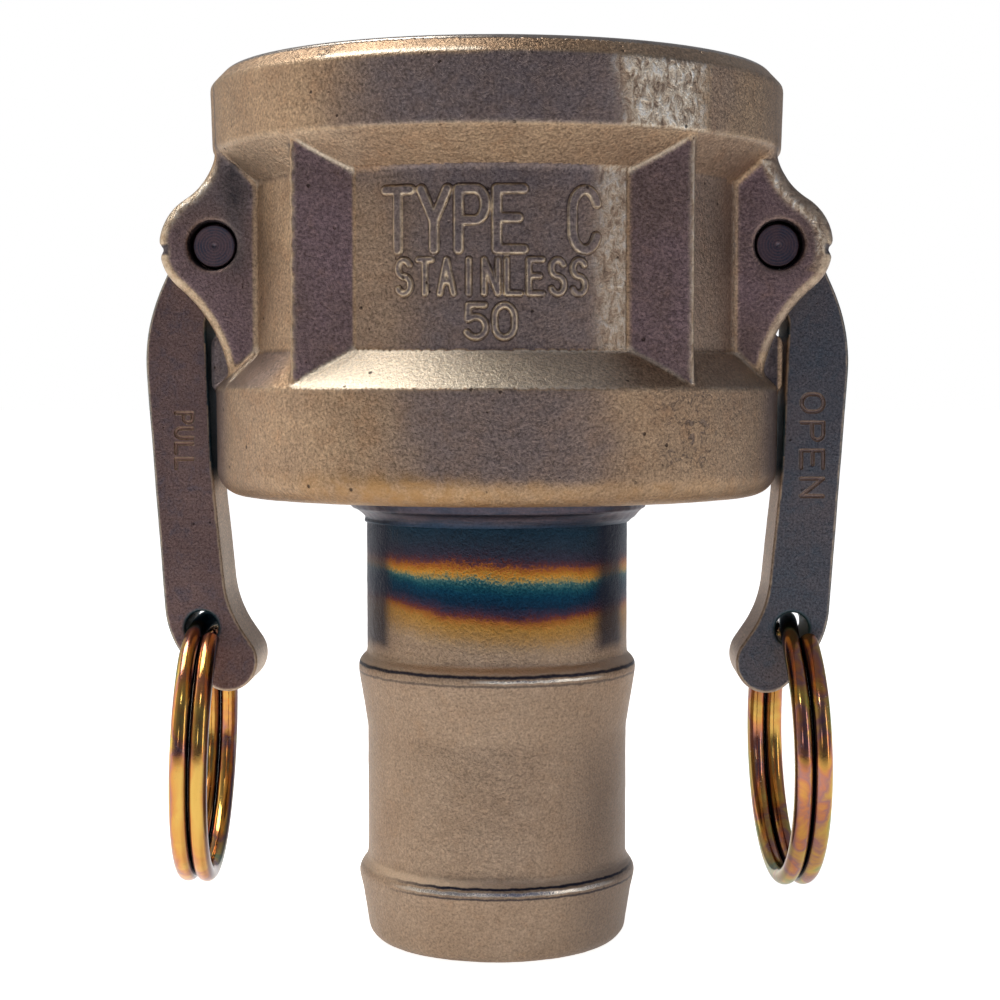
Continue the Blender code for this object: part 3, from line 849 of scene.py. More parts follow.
def ear_outline():
    """Ear as (distance from the axis, z): a boss round the pin with hollow flanks."""
    down, up = R_BOSS + R_EAR_DOWN, R_BOSS + R_EAR_UP
    down_deg, up_deg = radians(EAR_DOWN_DEG), radians(EAR_UP_DEG)
    return ([(20, 80.5), (38.6, 80.5), (38.6, 81.9)]
            + arc(PIN_X + down * cos(down_deg), PIN_Z + down * sin(down_deg),
                  R_EAR_DOWN, 178, 180 + EAR_DOWN_DEG, 40)
            + arc(PIN_X, PIN_Z, R_BOSS, EAR_DOWN_DEG, EAR_UP_DEG, 60)[1:]
            + arc(PIN_X + up * cos(up_deg), PIN_Z + up * sin(up_deg),
                  R_EAR_UP, 180 + EAR_UP_DEG, 181, 40)[1:]
            + [(39.3, 118.6), (20, 118.6)])


EAR = ear_outline()
WEB = [(30.0, WEB_LOW), (WEB_X - 1.1, WEB_LOW), (WEB_X, WEB_LOW + 1.7),
       (WEB_X, SLOT_LOW + 1.0), (30.0, SLOT_LOW + 1.0)]


def turned_solids(xs, ys, zs, *profiles):
    """Signed distances to turned profiles on the grid, read from tables over radius."""
    table_step = 0.2
    radius = np.sqrt(xs[:, None] ** 2 + ys[None, :] ** 2)
    table_radius = np.arange(0, radius.max() + 0.5, table_step)
    low = np.minimum((radius / table_step).astype(int), len(table_radius) - 2)
    t = ((radius / table_step) - low).astype(np.float32)[:, :, None]
    for profile in profiles:
        table = polygon_distance(table_radius[:, None], zs[None, :], profile).astype(np.float32)
        yield table[low] * (1 - t) + table[low + 1] * t


def body_solid(xs, ys, zs):
    """Signed distance to the body on the grid, negative in metal."""
    solid, bore = turned_solids(xs, ys, zs, BODY_OUTER, BODY_BORE)
    out_x = np.abs(xs).astype(np.float32)[:, None, None]
    out_y = np.abs(ys).astype(np.float32)[None, :, None]
    z = zs.astype(np.float32)[None, None, :]

    def extruded(outline):
        """Outline in (distance from the axis, z), endless along y."""
        flat = polygon_distance(np.abs(xs)[:, None], zs[None, :], outline)
        return flat.astype(np.float32)[:, None, :]

    # pads; the left front edge is ragged and bitten
    ragged = 0.10 * np.sin(zs * 2.1) + 0.07 * np.sin(zs * 5.3 + 1.0) + 0.05 * np.sin(zs * 9.1 + 2.0)
    ragged = (ragged - 0.12).astype(np.float32)[None, None, :]
    left_front = (xs < 0)[:, None, None] & (ys < 0)[None, :, None]
    pad = np.maximum(out_x - PAD_HALF_WIDTH - np.where(left_front, ragged, 0), out_y - PAD_Y)
    pad = np.maximum(pad, np.abs(z - (PAD_LOW + PAD_HIGH) / 2) - (PAD_HIGH - PAD_LOW) / 2)
    solid = np.minimum(solid, pad)
    for k in range(9):
        bite_z = 84.0 + 3.7 * k + 1.2 * sin(k * 2.7)
        bite_radius = 0.42 + 0.18 * sin(k * 1.9 + 0.6)
        bite = np.sqrt((xs[:, None, None] + PAD_HALF_WIDTH + 0.15) ** 2
                       + (ys[None, :, None] + PAD_Y + 0.05) ** 2
                       + ((z - bite_z) * 0.6) ** 2).astype(np.float32) - bite_radius
        solid = np.maximum(solid, -bite)
    # ears with rounded outer edges and a small fillet to the body
    lug = rounded_max(extruded(EAR), out_y - EAR_OUT, 1.75)
    fillet = 1.1
    solid = (np.minimum(solid, lug)
             - np.maximum(fillet - np.abs(solid - lug), 0) ** 2 / (4 * fillet))
    solid = np.minimum(solid, np.maximum(extruded(WEB), out_y - (EAR_IN + 0.6)))
    # a nick across the outer edge of each ear
    nick = (out_x - (PIN_X + R_BOSS - 1.05) - 1.10 * np.abs(z - Z_NICK)) * 0.69
    solid = np.maximum(solid, nick)
    solid = np.maximum(solid, -bore)
    slot = np.abs(z - (SLOT_LOW + SLOT_HIGH) / 2) - (SLOT_HIGH - SLOT_LOW) / 2
    slot = np.maximum(np.maximum(out_y - EAR_IN, slot), SLOT_FROM_X - out_x)
    solid = np.maximum(solid, -slot)
    # pin holes, flared at the outer faces
    hole = np.sqrt((out_x - PIN_X) ** 2 + (z - PIN_Z) ** 2) - R_EAR_HOLE
    hole = hole - np.clip(out_y - (EAR_OUT - 0.28), 0, 0.5) * 0.6
    solid = np.maximum(solid, -np.maximum(hole, 25 - out_x))
    return solid.astype(np.float32)


def paint_body(points, normals, bend):
    """Attribute values for the cast material. bend is over 0 on convex edges."""
    x, y, z = points.T
    normal_x, normal_y, normal_z = normals.T
    out_x, out_y = np.abs(x), np.abs(y)
    radius = np.hypot(x, y)
    bearing = np.degrees(np.arctan2(x, -y))     # 0 in front, positive to the right
    wobble = fractal(points, 9.0, 3, 5)
    uneven = bearing + wobble * 5
    front = y < 0
    from_pin = np.hypot(out_x - PIN_X, z - PIN_Z)

    machined = ((z > Z_TOP - 0.6) & (normal_z > 0.4)) | (radius < 24)
    machined |= ((radius < R_SEAT + 0.5) & (z > Z_SEAT - 2)
                 & (normal_x * x + normal_y * y < 0.2 * radius))
    machined |= (radius < R_SOCKET + 1.6) & (z > Z_TOP - 2)
    outside = ~machined

    # bright edges, from wear and painted highlights: full on pads and ears, faint along the bands
    # and round the pin holes
    on_band = (radius > R_BAND_LOW - 1.2) & (out_y > EAR_OUT + 1)
    hole_rim = from_pin < R_EAR_HOLE + 1.1
    edge = smooth(0.045, 0.125, bend) * np.where(on_band, 0.30, 0.8)
    edge = edge * np.where(hole_rim, 0.05, 1.0)
    # painted shade in hollows, with painted light on the fillets where flats meet slopes
    cavity = smooth(-0.045, -0.13, bend)
    near_flat = (((out_x > 33) | (out_y > PAD_Y - 0.6))
                 & between(z, Z_FOOT_TOP - 1, Z_BAND_LOW + 1))
    pale = cavity * near_flat * (out_x > 15)
    cavity = cavity * np.where(near_flat, 0.15, 0.8)

    ears = (out_x > 33.6) & (np.abs(out_y - EAR_OUT) < 0.5)
    left_ear = ears & (x < 0) & front
    pads = (np.abs(out_y - PAD_Y) < 0.4) & (out_x < PAD_HALF_WIDTH + 0.3)
    # flat faces of the ears and pads, which get the painted dark reflection
    flat = smooth(0.93, 0.985, np.abs(normal_y)) * (ears | pads)
    flat = np.where(hole_rim & (out_y > EAR_OUT - 1.0), np.maximum(flat, 0.85), flat)

    # zones round the body, top to bottom
    upper_band = (smooth(Z_BAND_LOW - 0.3, Z_BAND_LOW + 0.3, z)
                  * smooth(Z_CHAMFER + 0.3, Z_CHAMFER - 0.3, z))
    chamfer = (smooth(Z_CHAMFER - 0.2, Z_CHAMFER + 0.3, z) * smooth(0.35, 0.6, normal_z)
               * smooth(0.97, 0.9, normal_z))
    slope_up = (between(z, Z_WAIST_TOP + 0.1, Z_BAND_LOW - 0.1) & (normal_z < -0.3)
                & outside & front)
    panel = ((out_x < 18.3) & (radius < 37.6) & between(z, Z_WAIST_LOW, Z_WAIST_TOP + 0.4)
             & outside)      # waist between the ears, where the wording is
    slope_low = between(z, Z_FOOT_TOP - 0.2, Z_WAIST_LOW + 0.1) & (normal_z > 0.45) & outside
    lower_band = (smooth(Z_FOOT_TOP + 0.3, Z_FOOT_TOP - 0.5, z)
                  * smooth(Z_FLOOR + 1.5, Z_FLOOR + 4.5, z + wobble * 1.5))

    # painted highlight (gold) on the upper band to the right, and on the panel's right end
    gold = upper_band * smooth(20, 29, uneven) * smooth(46.0, 39.0, bearing + wobble * 2.0)
    gold = np.maximum(gold, panel * smooth(12.6, 16.5, x + wobble * 1.5) * 0.5)
    gold = np.where(ears & front & (x > 0), 0, gold)

    def ear_depth(area):
        depth = np.zeros(len(x))
        depth[area] = polygon_distance(out_x[area], z[area], EAR)
        return depth

    # painted highlight along the rim of the right ear
    rim = (x > 33.5) & (y < -10.6) & between(z, 99.5, 115.6)
    depth = ear_depth(rim)
    gold = np.maximum(gold, rim * bump_at(depth, -1.85 + 0.25 * wobble, 0.60)
                      * smooth(100.5, 102.5, z))
    flat = flat * (1 - rim * bump_at(depth, -1.85, 0.6))
    # glints on the rounded upper edge of the left one
    glint = (x < -33.5) & (y < -9.5) & between(z, 104, 116)
    gold = np.maximum(gold, glint * bump_at(ear_depth(glint), -0.75, 0.65)
                      * smooth(104.5, 106.5, z) * smooth(115, 112.5, z) * 0.9)
    # painted highlights along the lower edge of the left ear, the corner of the right pad and the
    # root of the right ear
    low_edge = (bump_at(out_x + z, 122.2, 0.55) * smooth(34.0, 34.6, -x)
                * smooth(38.9, 38.2, -x) * (y < -12.0))
    corner = (bump_at(x, PAD_HALF_WIDTH, 0.42) * bump_at(y, -PAD_Y, 0.55)
              * between(z, PAD_LOW + 2, PAD_HIGH - 2) * 0.85)
    root = (bump_at(x, 33.85, 0.5) * bump_at(y, -EAR_OUT, 0.8)
            * smooth(87.5, 89.0, z) * smooth(113.5, 112.0, z) * 0.7)
    gold = np.maximum(gold, np.maximum.reduce([low_edge, corner, root]) * outside)

    # painted shade on the upper band, in front and again far right
    tone = -0.9 * upper_band * (
        smooth(-42, -13, uneven) * smooth(27, 22, uneven)
        + smooth(43.2, 45.5, bearing + wobble * 1.2) * smooth(58, 47, uneven) * 0.5)
    # painted light on the chamfer, to the right and just left of the middle
    tone += chamfer * (smooth(15, 30, uneven) * 0.20 + smooth(10, -10, uneven) * 0.10)
    # painted highlight: a bright lip under the chamfer, left of the middle
    tone += (0.9 * bump_at(z, Z_CHAMFER + 0.1, 0.45) * smooth(-36, -30, bearing)
             * smooth(2, -4, bearing))
    # painted shade on the panel, towards its top and centre
    tone -= panel * (0.35 + 0.45 * smooth(-15, -6, x + wobble * 2) * smooth(16.5, 12, x + wobble)
                     + smooth(Z_WAIST_TOP - 4, Z_WAIST_TOP, z) * 0.25)
    # painted shade on the lower band: in front, a little at the sides, and more at the far sides of
    # the foot
    tone -= lower_band * smooth(-27, -8, uneven) * smooth(30, 14, uneven) * 0.72 * outside
    tone -= lower_band * outside * front * 0.16 * (smooth(-30, -40, bearing)
                                                   + smooth(20, 35, bearing))
    tone -= (smooth(36.5, 40.3, out_x) * (out_y < 22) * between(z, Z_FLOOR + 1, Z_FOOT_TOP)
             * (radius > 40) * 0.55)
    # left ear shaded above
    tone -= left_ear * smooth(98, 102, z) * (0.75 * bump_at(x, -37.6, 1.9)
                                             + 0.5 * smooth(106, 111, z))
    # painted light left of the pads, painted shade right of them
    tone += (between(x, -33.6, -27.8) & front & outside
             & between(z, Z_WAIST_LOW, Z_WAIST_TOP)) * 0.08
    tone -= ((x > 27.8) & front & outside & between(z, Z_WAIST_LOW, Z_BAND_LOW)) * 0.47 * (1 - flat)
    tone += pale * 0.5
    # painted light on the lower slope across the pads and far right, painted shade on it far left
    tone += slope_low * (smooth(38, 12, uneven) * smooth(-27.9, -27.0, x)
                         - smooth(-42, -52, uneven) * 0.6 + smooth(38, 48, uneven) * 0.30)
    # painted light on the upper slope, more to the left
    tone += slope_up * (0.12 + 0.13 * smooth(-20, -30, bearing))

    # rust along the foot, left and right of the middle
    rust = (smooth(Z_FLOOR + 5.4, Z_FLOOR + 3.0, z + wobble * 0.8)
            * bump_at(bearing, -20, 20) * 0.7
            + smooth(Z_FLOOR + 4.0, Z_FLOOR + 2.6, z + wobble * 0.8)
            * bump_at(bearing, 25, 30) * 0.35) * outside * front
    scar = (lower_band * (bump_at(bearing, 41, 8) * smooth(71, 73.5, z)
                          + 0.5 * bump_at(bearing, 8, 16) * smooth(73.0, 71.0, z))
            + upper_band * bump_at(bearing, 2, 22) * 0.45 + chamfer * bump_at(bearing, -33, 5))
    # painted shadow on the left ear
    left_ear_shadow = left_ear * smooth(96, 101, z) * (0.55 * bump_at(x, -37.6, 1.7)
                                             + 0.35 * smooth(107, 111, z))
    cavity = np.maximum(cavity, left_ear_shadow)

    # sides of the web: painted shade on the left one, painted light on the right one; painted shade
    # on the rest of it, in the pin holes and in the nicks
    near_web = (out_y < EAR_IN + 0.9) & (out_x > 38.5) & between(z, Z_FLOOR + 3, SLOT_LOW + 0.6)
    web_side = near_web & np.where(x < 0, out_x < 41.4, out_x > 41.25)
    hole = (from_pin < R_EAR_HOLE + 0.14) & (out_x > 33)
    nick = (out_x > PIN_X + R_BOSS - 1.5) & (np.abs(z - Z_NICK) < 0.62)
    painted_shade_zone = (near_web & ~web_side) | hole | nick
    tone = np.where(web_side, np.where(x < 0, -0.95, 0.15), tone)
    tone = np.where(painted_shade_zone, np.minimum(tone, -1.0), tone)
    cavity = np.where(painted_shade_zone, 1.0, np.where(web_side, 0.0, cavity))
    edge = np.where(web_side | painted_shade_zone, 0.0, edge)
    return {"flat": flat, "edge": edge * outside, "cavity": cavity * outside, "tone": tone,
            "gold": gold, "machined": machined, "rust": rust, "scar": scar}


def coupler_body():
    step = detail(0.36, 0.62)
    axes = (np.arange(-51.2, 51.3, step), np.arange(-44.6, 44.7, step),
            np.arange(Z_FLOOR - 2.0, Z_TOP + 2.1, step))
    origin = [axis[0] for axis in axes]
    sharp = body_solid(*axes)
    soft = blur(sharp, detail(0.30 / step, 0.6))
    verts, quads = surface_nets(soft, axes)
    verts, normals = settle(Field(soft, origin, step), verts, 0.5 * step, rounds=2, most=0.5)
    bend = Field(blur(soft, 0.55 / step), origin, step)(verts)
    paint = paint_body(verts, normals, bend)
    verts, normals = rough_up(verts, normals, [(0.045, 9.0, 1), (0.020, 2.6, 2), (0.012, 1.1, 3)],
                              keep=np.where(paint["machined"], 0.1, 1.0))
    add_piece("coupler_body_cast", verts, quads, "coupler", "coupler_body", "cast_stainless",
              CAST, normals, **paint)


def lettering():
    """Raised generic wording on the front of the waist, cast with the body."""
    step = 0.14
    along = np.arange(-17.6, 17.7, step)
    zs = np.arange(88.6, 112.0, step)
    raised = np.arange(-0.75, 1.15, 0.115)
    # text, start and end along the waist, base, height, letter width share, stroke half width
    rows = (("TYPE C", -14.4, 14.6, 101.4, 8.0, 0.70, 0.74),
            ("STAINLESS", -12.7, 12.9, 95.55, 4.5, 0.62, 0.48),
            ("50", -3.2, 3.2, 89.7, 4.3, 0.70, 0.50))
    plan = np.minimum.reduce([
        stroke_distance(along[:, None], zs[None, :], text_strokes(*row)) - half_width
        for *row, half_width in rows])
    # walls lean in and flare at the foot
    level = raised[None, None, :]
    wall = plan[:, :, None] + 0.36 * level - 0.14 * np.exp(-np.maximum(level, 0) / 0.10)
    solid = np.maximum(rounded_max(wall, level - 0.52, 0.16), -0.5 - level)
    verts, quads = surface_nets(blur(solid.astype(np.float32), 0.6), (along, zs, raised))
    # bent round the waist
    arc_length, z, lift = verts.T
    turn = arc_length / R_WAIST
    outward = np.stack([np.sin(turn), -np.cos(turn), 0 * turn], 1)
    verts = outward * (R_WAIST + lift)[:, None]
    verts[:, 2] = z
    verts = verts + 0.035 * noise3(verts, 1.6, 9)[:, None] * outward
    x = verts[:, 0]
    # painted shade on the letters as on the panel, more on their tops; below, painted highlights on
    # their walls and painted shade at their feet
    tone = (-0.45 - 0.45 * smooth(-15, -6, x) * smooth(16.5, 12, x)
            - 0.3 * smooth(0.48, 0.52, lift))
    zero = np.zeros(len(verts))
    add_piece("cast_lettering", verts, quads[:, ::-1], "coupler", None, "cast_stainless", CAST,
              flat=zero, edge=smooth(0.08, 0.20, lift) * smooth(0.53, 0.46, lift),
              cavity=smooth(0.14, 0.0, lift) * 0.8, tone=tone, gold=zero, machined=zero)


coupler_body()
lettering()


# ------------------------------------------------------------ arms
def arm_field():
    """Signed distance to the arm's outline over (distance from the axis, z)."""
    step = 0.12
    out_x, zs = np.arange(24.0, 56.0, step), np.arange(34.0, 116.0, step)
    outline = belt([TOE, HEEL, SHOULDER, ARM_BOSS, CAM, ARMPIT, INNER_EDGE, INSTEP], 2.5)
    return Field(polygon_distance(out_x[:, None], zs[None, :], outline), (24.0, 34.0), step)


ARM_FIELD = arm_field()


def stepped(low, high, coarse, fine, zone):
    """Coordinates from low to high, fine inside the zone and coarse outside."""
    out = [low]
    while out[-1] < high:
        near = zone[0] - 1e-9 <= out[-1] < zone[1]
        out.append(out[-1] + (fine if near else coarse))
    return np.array(out)


def cam_arm(tag, side, material, word, middle_x, z_top, z_low, cap):
    """Arm with a word stamped on its front face, reading downwards, cap mm tall."""
    coarse, fine = detail((0.34, 0.125), (0.6, 0.2))
    front = -ARM_HALF
    low_x, high_x = (25.0, 53.6) if side > 0 else (-53.6, -25.0)
    half = cap / 2
    xs = stepped(low_x, high_x, coarse, fine, (middle_x - half - 0.6, middle_x + half + 0.6))
    ys = stepped(-ARM_HALF - 1.2, ARM_HALF + 1.2, coarse, 0.15, (front - 0.9, front + 1.0))
    zs = stepped(36.4, 113.6, coarse, fine, (z_low - 0.8, z_top + 0.8))

    # letters' tops to the right
    strokes = [[(middle_x - half + up, z_top - along) for along, up in line]
               for line in text_strokes(word, 0.0, z_top - z_low, 0.0, cap, 0.62)]
    stroke_step = 0.06
    word_x = np.arange(middle_x - half - 1.5, middle_x + half + 1.5, stroke_step)
    word_z = np.arange(z_low - 1.6, z_top + 1.6, stroke_step)
    word_field = Field(stroke_distance(word_x[:, None], word_z[None, :], strokes),
                       (word_x[0], word_z[0]), stroke_step)

    def to_stroke(x, z):
        beyond = (x < word_x[1]) | (x > word_x[-2]) | (z < word_z[1]) | (z > word_z[-2])
        return np.where(beyond, 9.0, word_field.at(x, z))

    def solid(x, y, z):
        """Signed distance to the arm, negative in metal."""
        out_x = side * x
        past_face = np.abs(y) - ARM_HALF
        distance = rounded_max(ARM_FIELD.at(out_x, z), past_face, 0.55)
        # ring hole with its mouth rounded over
        eye = np.sqrt((out_x - RING_HOLE_X) ** 2 + (z - RING_HOLE_Z) ** 2) - RING_HOLE_R
        distance = np.maximum(distance, rounded_max(-eye, past_face, 0.5))
        bore = np.sqrt((out_x - PIN_X) ** 2 + (z - PIN_Z) ** 2) - R_ARM_HOLE
        distance = np.maximum(distance, -bore)
        groove = np.sqrt(to_stroke(x, z) ** 2 + (y - front) ** 2) - 0.27
        return np.maximum(distance, -groove)

    grid = solid(xs[:, None, None], ys[None, :, None], zs[None, None, :])
    verts, quads = surface_nets(grid, (xs, ys, zs))
    verts, normals = settle(lambda p: solid(*p.T), verts, 0.05, rounds=3, most=0.3)
    x, y, z = verts.T
    out_x, out_y = side * x, np.abs(y)
    facing = np.abs(normals[:, 1])
    stamp = smooth(0.42, 0.15, to_stroke(x, z)) * (y < front + 0.5)
    edge = (smooth(-0.8, -0.2, ARM_FIELD.at(out_x, z))
            * smooth(ARM_HALF - 0.75, ARM_HALF - 0.2, out_y)
            * smooth(0.25, 0.5, facing) * smooth(0.99, 0.9, facing))
    near_bore = smooth(5.2, 4.0, np.hypot(out_x - PIN_X, z - PIN_Z))
    # the outline is painted from the smooth normals, before the relief tilts them
    verts, rough_normals = rough_up(verts, normals,
                                    [(0.035, 7.0, 21), (0.014, 2.2, 22), (0.008, 1.0, 23)],
                                    keep=1 - near_bore)
    z = verts_z_before_relief = z
    return (tag, side, material, verts, quads, rough_normals, out_x, out_y,
            verts_z_before_relief, facing, edge, stamp)


def finish_arm(tag, side, material, verts, quads, normals, out_x, out_y, z, facing, edge, stamp):
    """Adds the painted shadow and the arm's mesh."""
    outward = normals[:, 0] * side
    # painted shadow where the arm lies against the body and inside the ring's hole
    inner = (out_x < 44.0) & (outward < -0.5)
    shadow = inner * smooth(68.8, 71.5, z) * smooth(95.0, 91.0, z) * 0.93
    if side > 0:            # a lit sliver above the band
        shadow = shadow * (1 - smooth(79.5, 84.0, z) * smooth(90.6, 89.4, z))
    from_eye = np.hypot(out_x - RING_HOLE_X, z - RING_HOLE_Z)
    shadow = np.maximum(shadow, 0.96 * smooth(RING_HOLE_R + 0.60, RING_HOLE_R + 0.15, from_eye))
    # painted shade on the outer corner
    shadow = np.maximum(shadow, 0.7 * smooth(0.30, 0.65, outward)
                        * smooth(ARM_HALF - 0.75, ARM_HALF - 0.35, out_y))
    add_piece(f"{tag}_cam_arm_cast", verts, quads, f"{tag}_arm", f"{tag}_cam_arm",
              "arm_stainless", material, normals, flat=smooth(0.80, 0.97, facing),
              edge=edge * (1 - shadow), stamp=stamp, shadow=shadow)


finish_arm(*cam_arm("left", -1, ARM_LEFT, "PULL", middle_x=-46.2, z_top=79.2, z_low=71.0, cap=2.5))
finish_arm(*cam_arm("right", 1, ARM_RIGHT, "OPEN", middle_x=46.6, z_top=82.0, z_low=67.0, cap=3.2))


# ------------------------------------------------------------ pivot pins
def pivot_pin(tag, side):
    """Turned pin with fine rings on its faces and a small chamfer."""
    ring_pitch = 0.42
    radius = np.maximum(0.012, (R_PIN - 0.32) * np.arange(85) / 84)
    dip = (0.010 * (0.5 + 0.5 * np.cos(2 * pi * radius / ring_pitch))
           * smooth(0.15, 0.6, radius) * smooth(R_PIN - 0.4, R_PIN - 0.9, radius)
           + 0.16 * np.exp(-(radius / 0.28) ** 2))
    # closed (radius, along) outline: one face, the barrel, the other face
    face = np.stack([radius, dip - PIN_HALF], 1)
    chamfer = [(R_PIN - 0.22, -PIN_HALF + 0.02), (R_PIN - 0.08, -PIN_HALF + 0.10),
               (R_PIN, -PIN_HALF + 0.32)]
    end = np.concatenate([face, chamfer])
    barrel = [(R_PIN, -PIN_HALF + 0.32 + (2 * PIN_HALF - 0.64) * k / 60) for k in range(1, 60)]
    turned, quads, _ = revolve(np.concatenate([end, barrel, end[::-1] * (1, -1)]), 96)
    verts = np.stack([turned[:, 0] + side * PIN_X, turned[:, 2], PIN_Z - turned[:, 1]], 1)
    radius = np.hypot(turned[:, 0], turned[:, 1])
    on_face = np.abs(turned[:, 2]) > PIN_HALF - 0.3
    rings = on_face * (0.5 + 0.5 * np.cos(2 * pi * radius / ring_pitch)) * (radius > 0.4)
    add_piece(f"{tag}_pivot_pin_turned", verts, quads, "coupler", f"{tag}_pivot_pin",
              "pin_steel", PIN, turned=rings)


pivot_pin("left", -1)
pivot_pin("right", 1)


# ------------------------------------------------------------ split rings
def split_ring(tag, side, yaw_deg, tilt_deg, body_dark, hole_dark, golden):
    """Two coils of wire through the arm's hole; the last three are paint amounts."""
    radius = RING_OD / 2 - RING_WIRE_R
    steps, sides = detail((900, 40), (400, 20))
    turn = RING_END_DEG + (720 - 2 * RING_END_DEG) * np.arange(steps + 1) / steps
    t = np.clip(0.5 + (turn - 360) / (2 * RING_JOG_HALF_DEG), 0, 1)
    shift = RING_PITCH * (0.5 - t * t * (3 - 2 * t))
    # the coils close up slightly by the free ends
    shift = shift + 0.02 * smooth(95, 30, turn) - 0.02 * smooth(625, 690, turn)
    angle = np.radians(turn)
    outward = np.stack([0 * angle, -np.sin(angle), np.cos(angle)], 1)
    axis = outward * radius + np.stack([shift, 0 * shift, 0 * shift + RING_LIFT - radius], 1)
    # rounded cut ends: extra rings that shrink to the end
    extra = 6
    tangent = unit(np.gradient(axis, axis=0))
    cap = pi / 2 * np.arange(1, extra + 1) / extra
    cap_reach = 0.28 * np.sin(cap)[:, None]
    cap_radius = RING_WIRE_R - 0.30 * (1 - np.cos(cap))
    stations = np.concatenate([axis[0] - tangent[0] * cap_reach[::-1], axis,
                               axis[-1] + tangent[-1] * cap_reach])
    wire = np.concatenate([cap_radius[::-1], np.full(steps + 1, RING_WIRE_R), cap_radius])
    outward = np.pad(outward, ((extra, extra), (0, 0)), mode="edge")
    shift = np.pad(shift, extra, mode="edge")
    around = np.arange(sides) * 2 * pi / sides
    verts = stations[:, None, :] + wire[:, None, None] * (
        np.sin(around)[None, :, None] * np.array([1.0, 0, 0])
        + np.cos(around)[None, :, None] * outward[:, None, :])
    verts = verts.reshape(-1, 3)
    row = np.arange(len(stations) - 1)[:, None] * sides
    col = np.arange(sides)[None, :]
    next_col = (col + 1) % sides
    quads = np.stack([row + col, row + next_col, row + sides + next_col, row + sides + col],
                     2).reshape(-1, 4)
    # end discs as quads that close on a middle point
    middle = len(verts)
    last = middle - sides
    verts = np.concatenate([verts, stations[:1], stations[-1:]])
    discs = []
    for k in range(0, sides, 2):
        discs.append((middle, (k + 2) % sides, k + 1, k))
        discs.append((middle + 1, last + k, last + k + 1, last + (k + 2) % sides))
    quads = np.concatenate([quads, np.array(discs)])
    cut_end = np.zeros(len(verts))
    cut_end[:sides * 2] = 1
    cut_end[last - sides:] = 1
    # painted shade where the coils face each other and where they face the body
    facing = (-np.sign(shift)[:, None] * np.sin(around)[None, :]
              * smooth(0.7, 1.2, np.abs(shift))[:, None])
    groove = np.maximum(smooth(0.60, 0.93, facing),
                        body_dark * smooth(0.52, 0.85, -side * np.sin(around))[None, :])
    groove = np.concatenate([groove.ravel(), np.zeros(2)])
    # the stretch that lies in the arm's hole sits in its dark
    in_hole = (smooth(ARM_HALF + 0.2, ARM_HALF - 1.0, np.abs(verts[:, 1]))
               * smooth(-6.0, -4.0, verts[:, 2]) * hole_dark)
    hang = (Matrix.Rotation(radians(-side * tilt_deg), 3, "Y")
            @ Matrix.Rotation(radians(yaw_deg), 3, "Z"))
    verts = verts @ np.array(hang).T + np.array([side * RING_HOLE_X, 0, RING_HOLE_Z])
    add_piece(f"{tag}_finger_ring_wire", verts, quads, f"{tag}_ring", f"{tag}_finger_ring",
              "yellow_zinc", ZINC, cut_end=cut_end, groove=groove, in_hole=in_hole,
              golden=np.full(len(verts), golden))


split_ring("left", -1, yaw_deg=1.9, tilt_deg=2.0, body_dark=0.8, hole_dark=0.95, golden=1.0)
split_ring("right", 1, yaw_deg=4.7, tilt_deg=0.6, body_dark=0.45, hole_dark=0.6, golden=0.15)


# ------------------------------------------------------------ hose shank
# Closed (radius, z) outline: down the bore, up the outside over two barbs
SHANK_OUTLINE = [
    (R_SHANK_BORE, Z_SHANK_TOP), (R_SHANK_BORE, 0.35), (R_SHANK_BORE + 0.3, 0.0), (17.3, 0.0),
    (18.1, 0.22), (18.75, 0.75), (19.15, 1.25), (19.4, 1.9), (19.58, 3.2), (20.25, 7.4),
    (20.78, 9.7), (20.84, 10.2), (20.72, 10.75), (20.45, 11.25), (20.1, 11.75), (19.75, 12.2),
    (19.55, 12.8), (19.5, 13.6), (19.5, 32.0), (19.95, 34.9), (20.83, 40.3), (20.9, 40.9),
    (20.88, 41.5), (20.72, 42.05), (20.42, 42.5), (20.05, 42.85), (19.72, 43.15),
    (R_SHANK, 43.6), (R_SHANK, Z_SHANK_TOP - 0.4), (19.2, Z_SHANK_TOP),
]


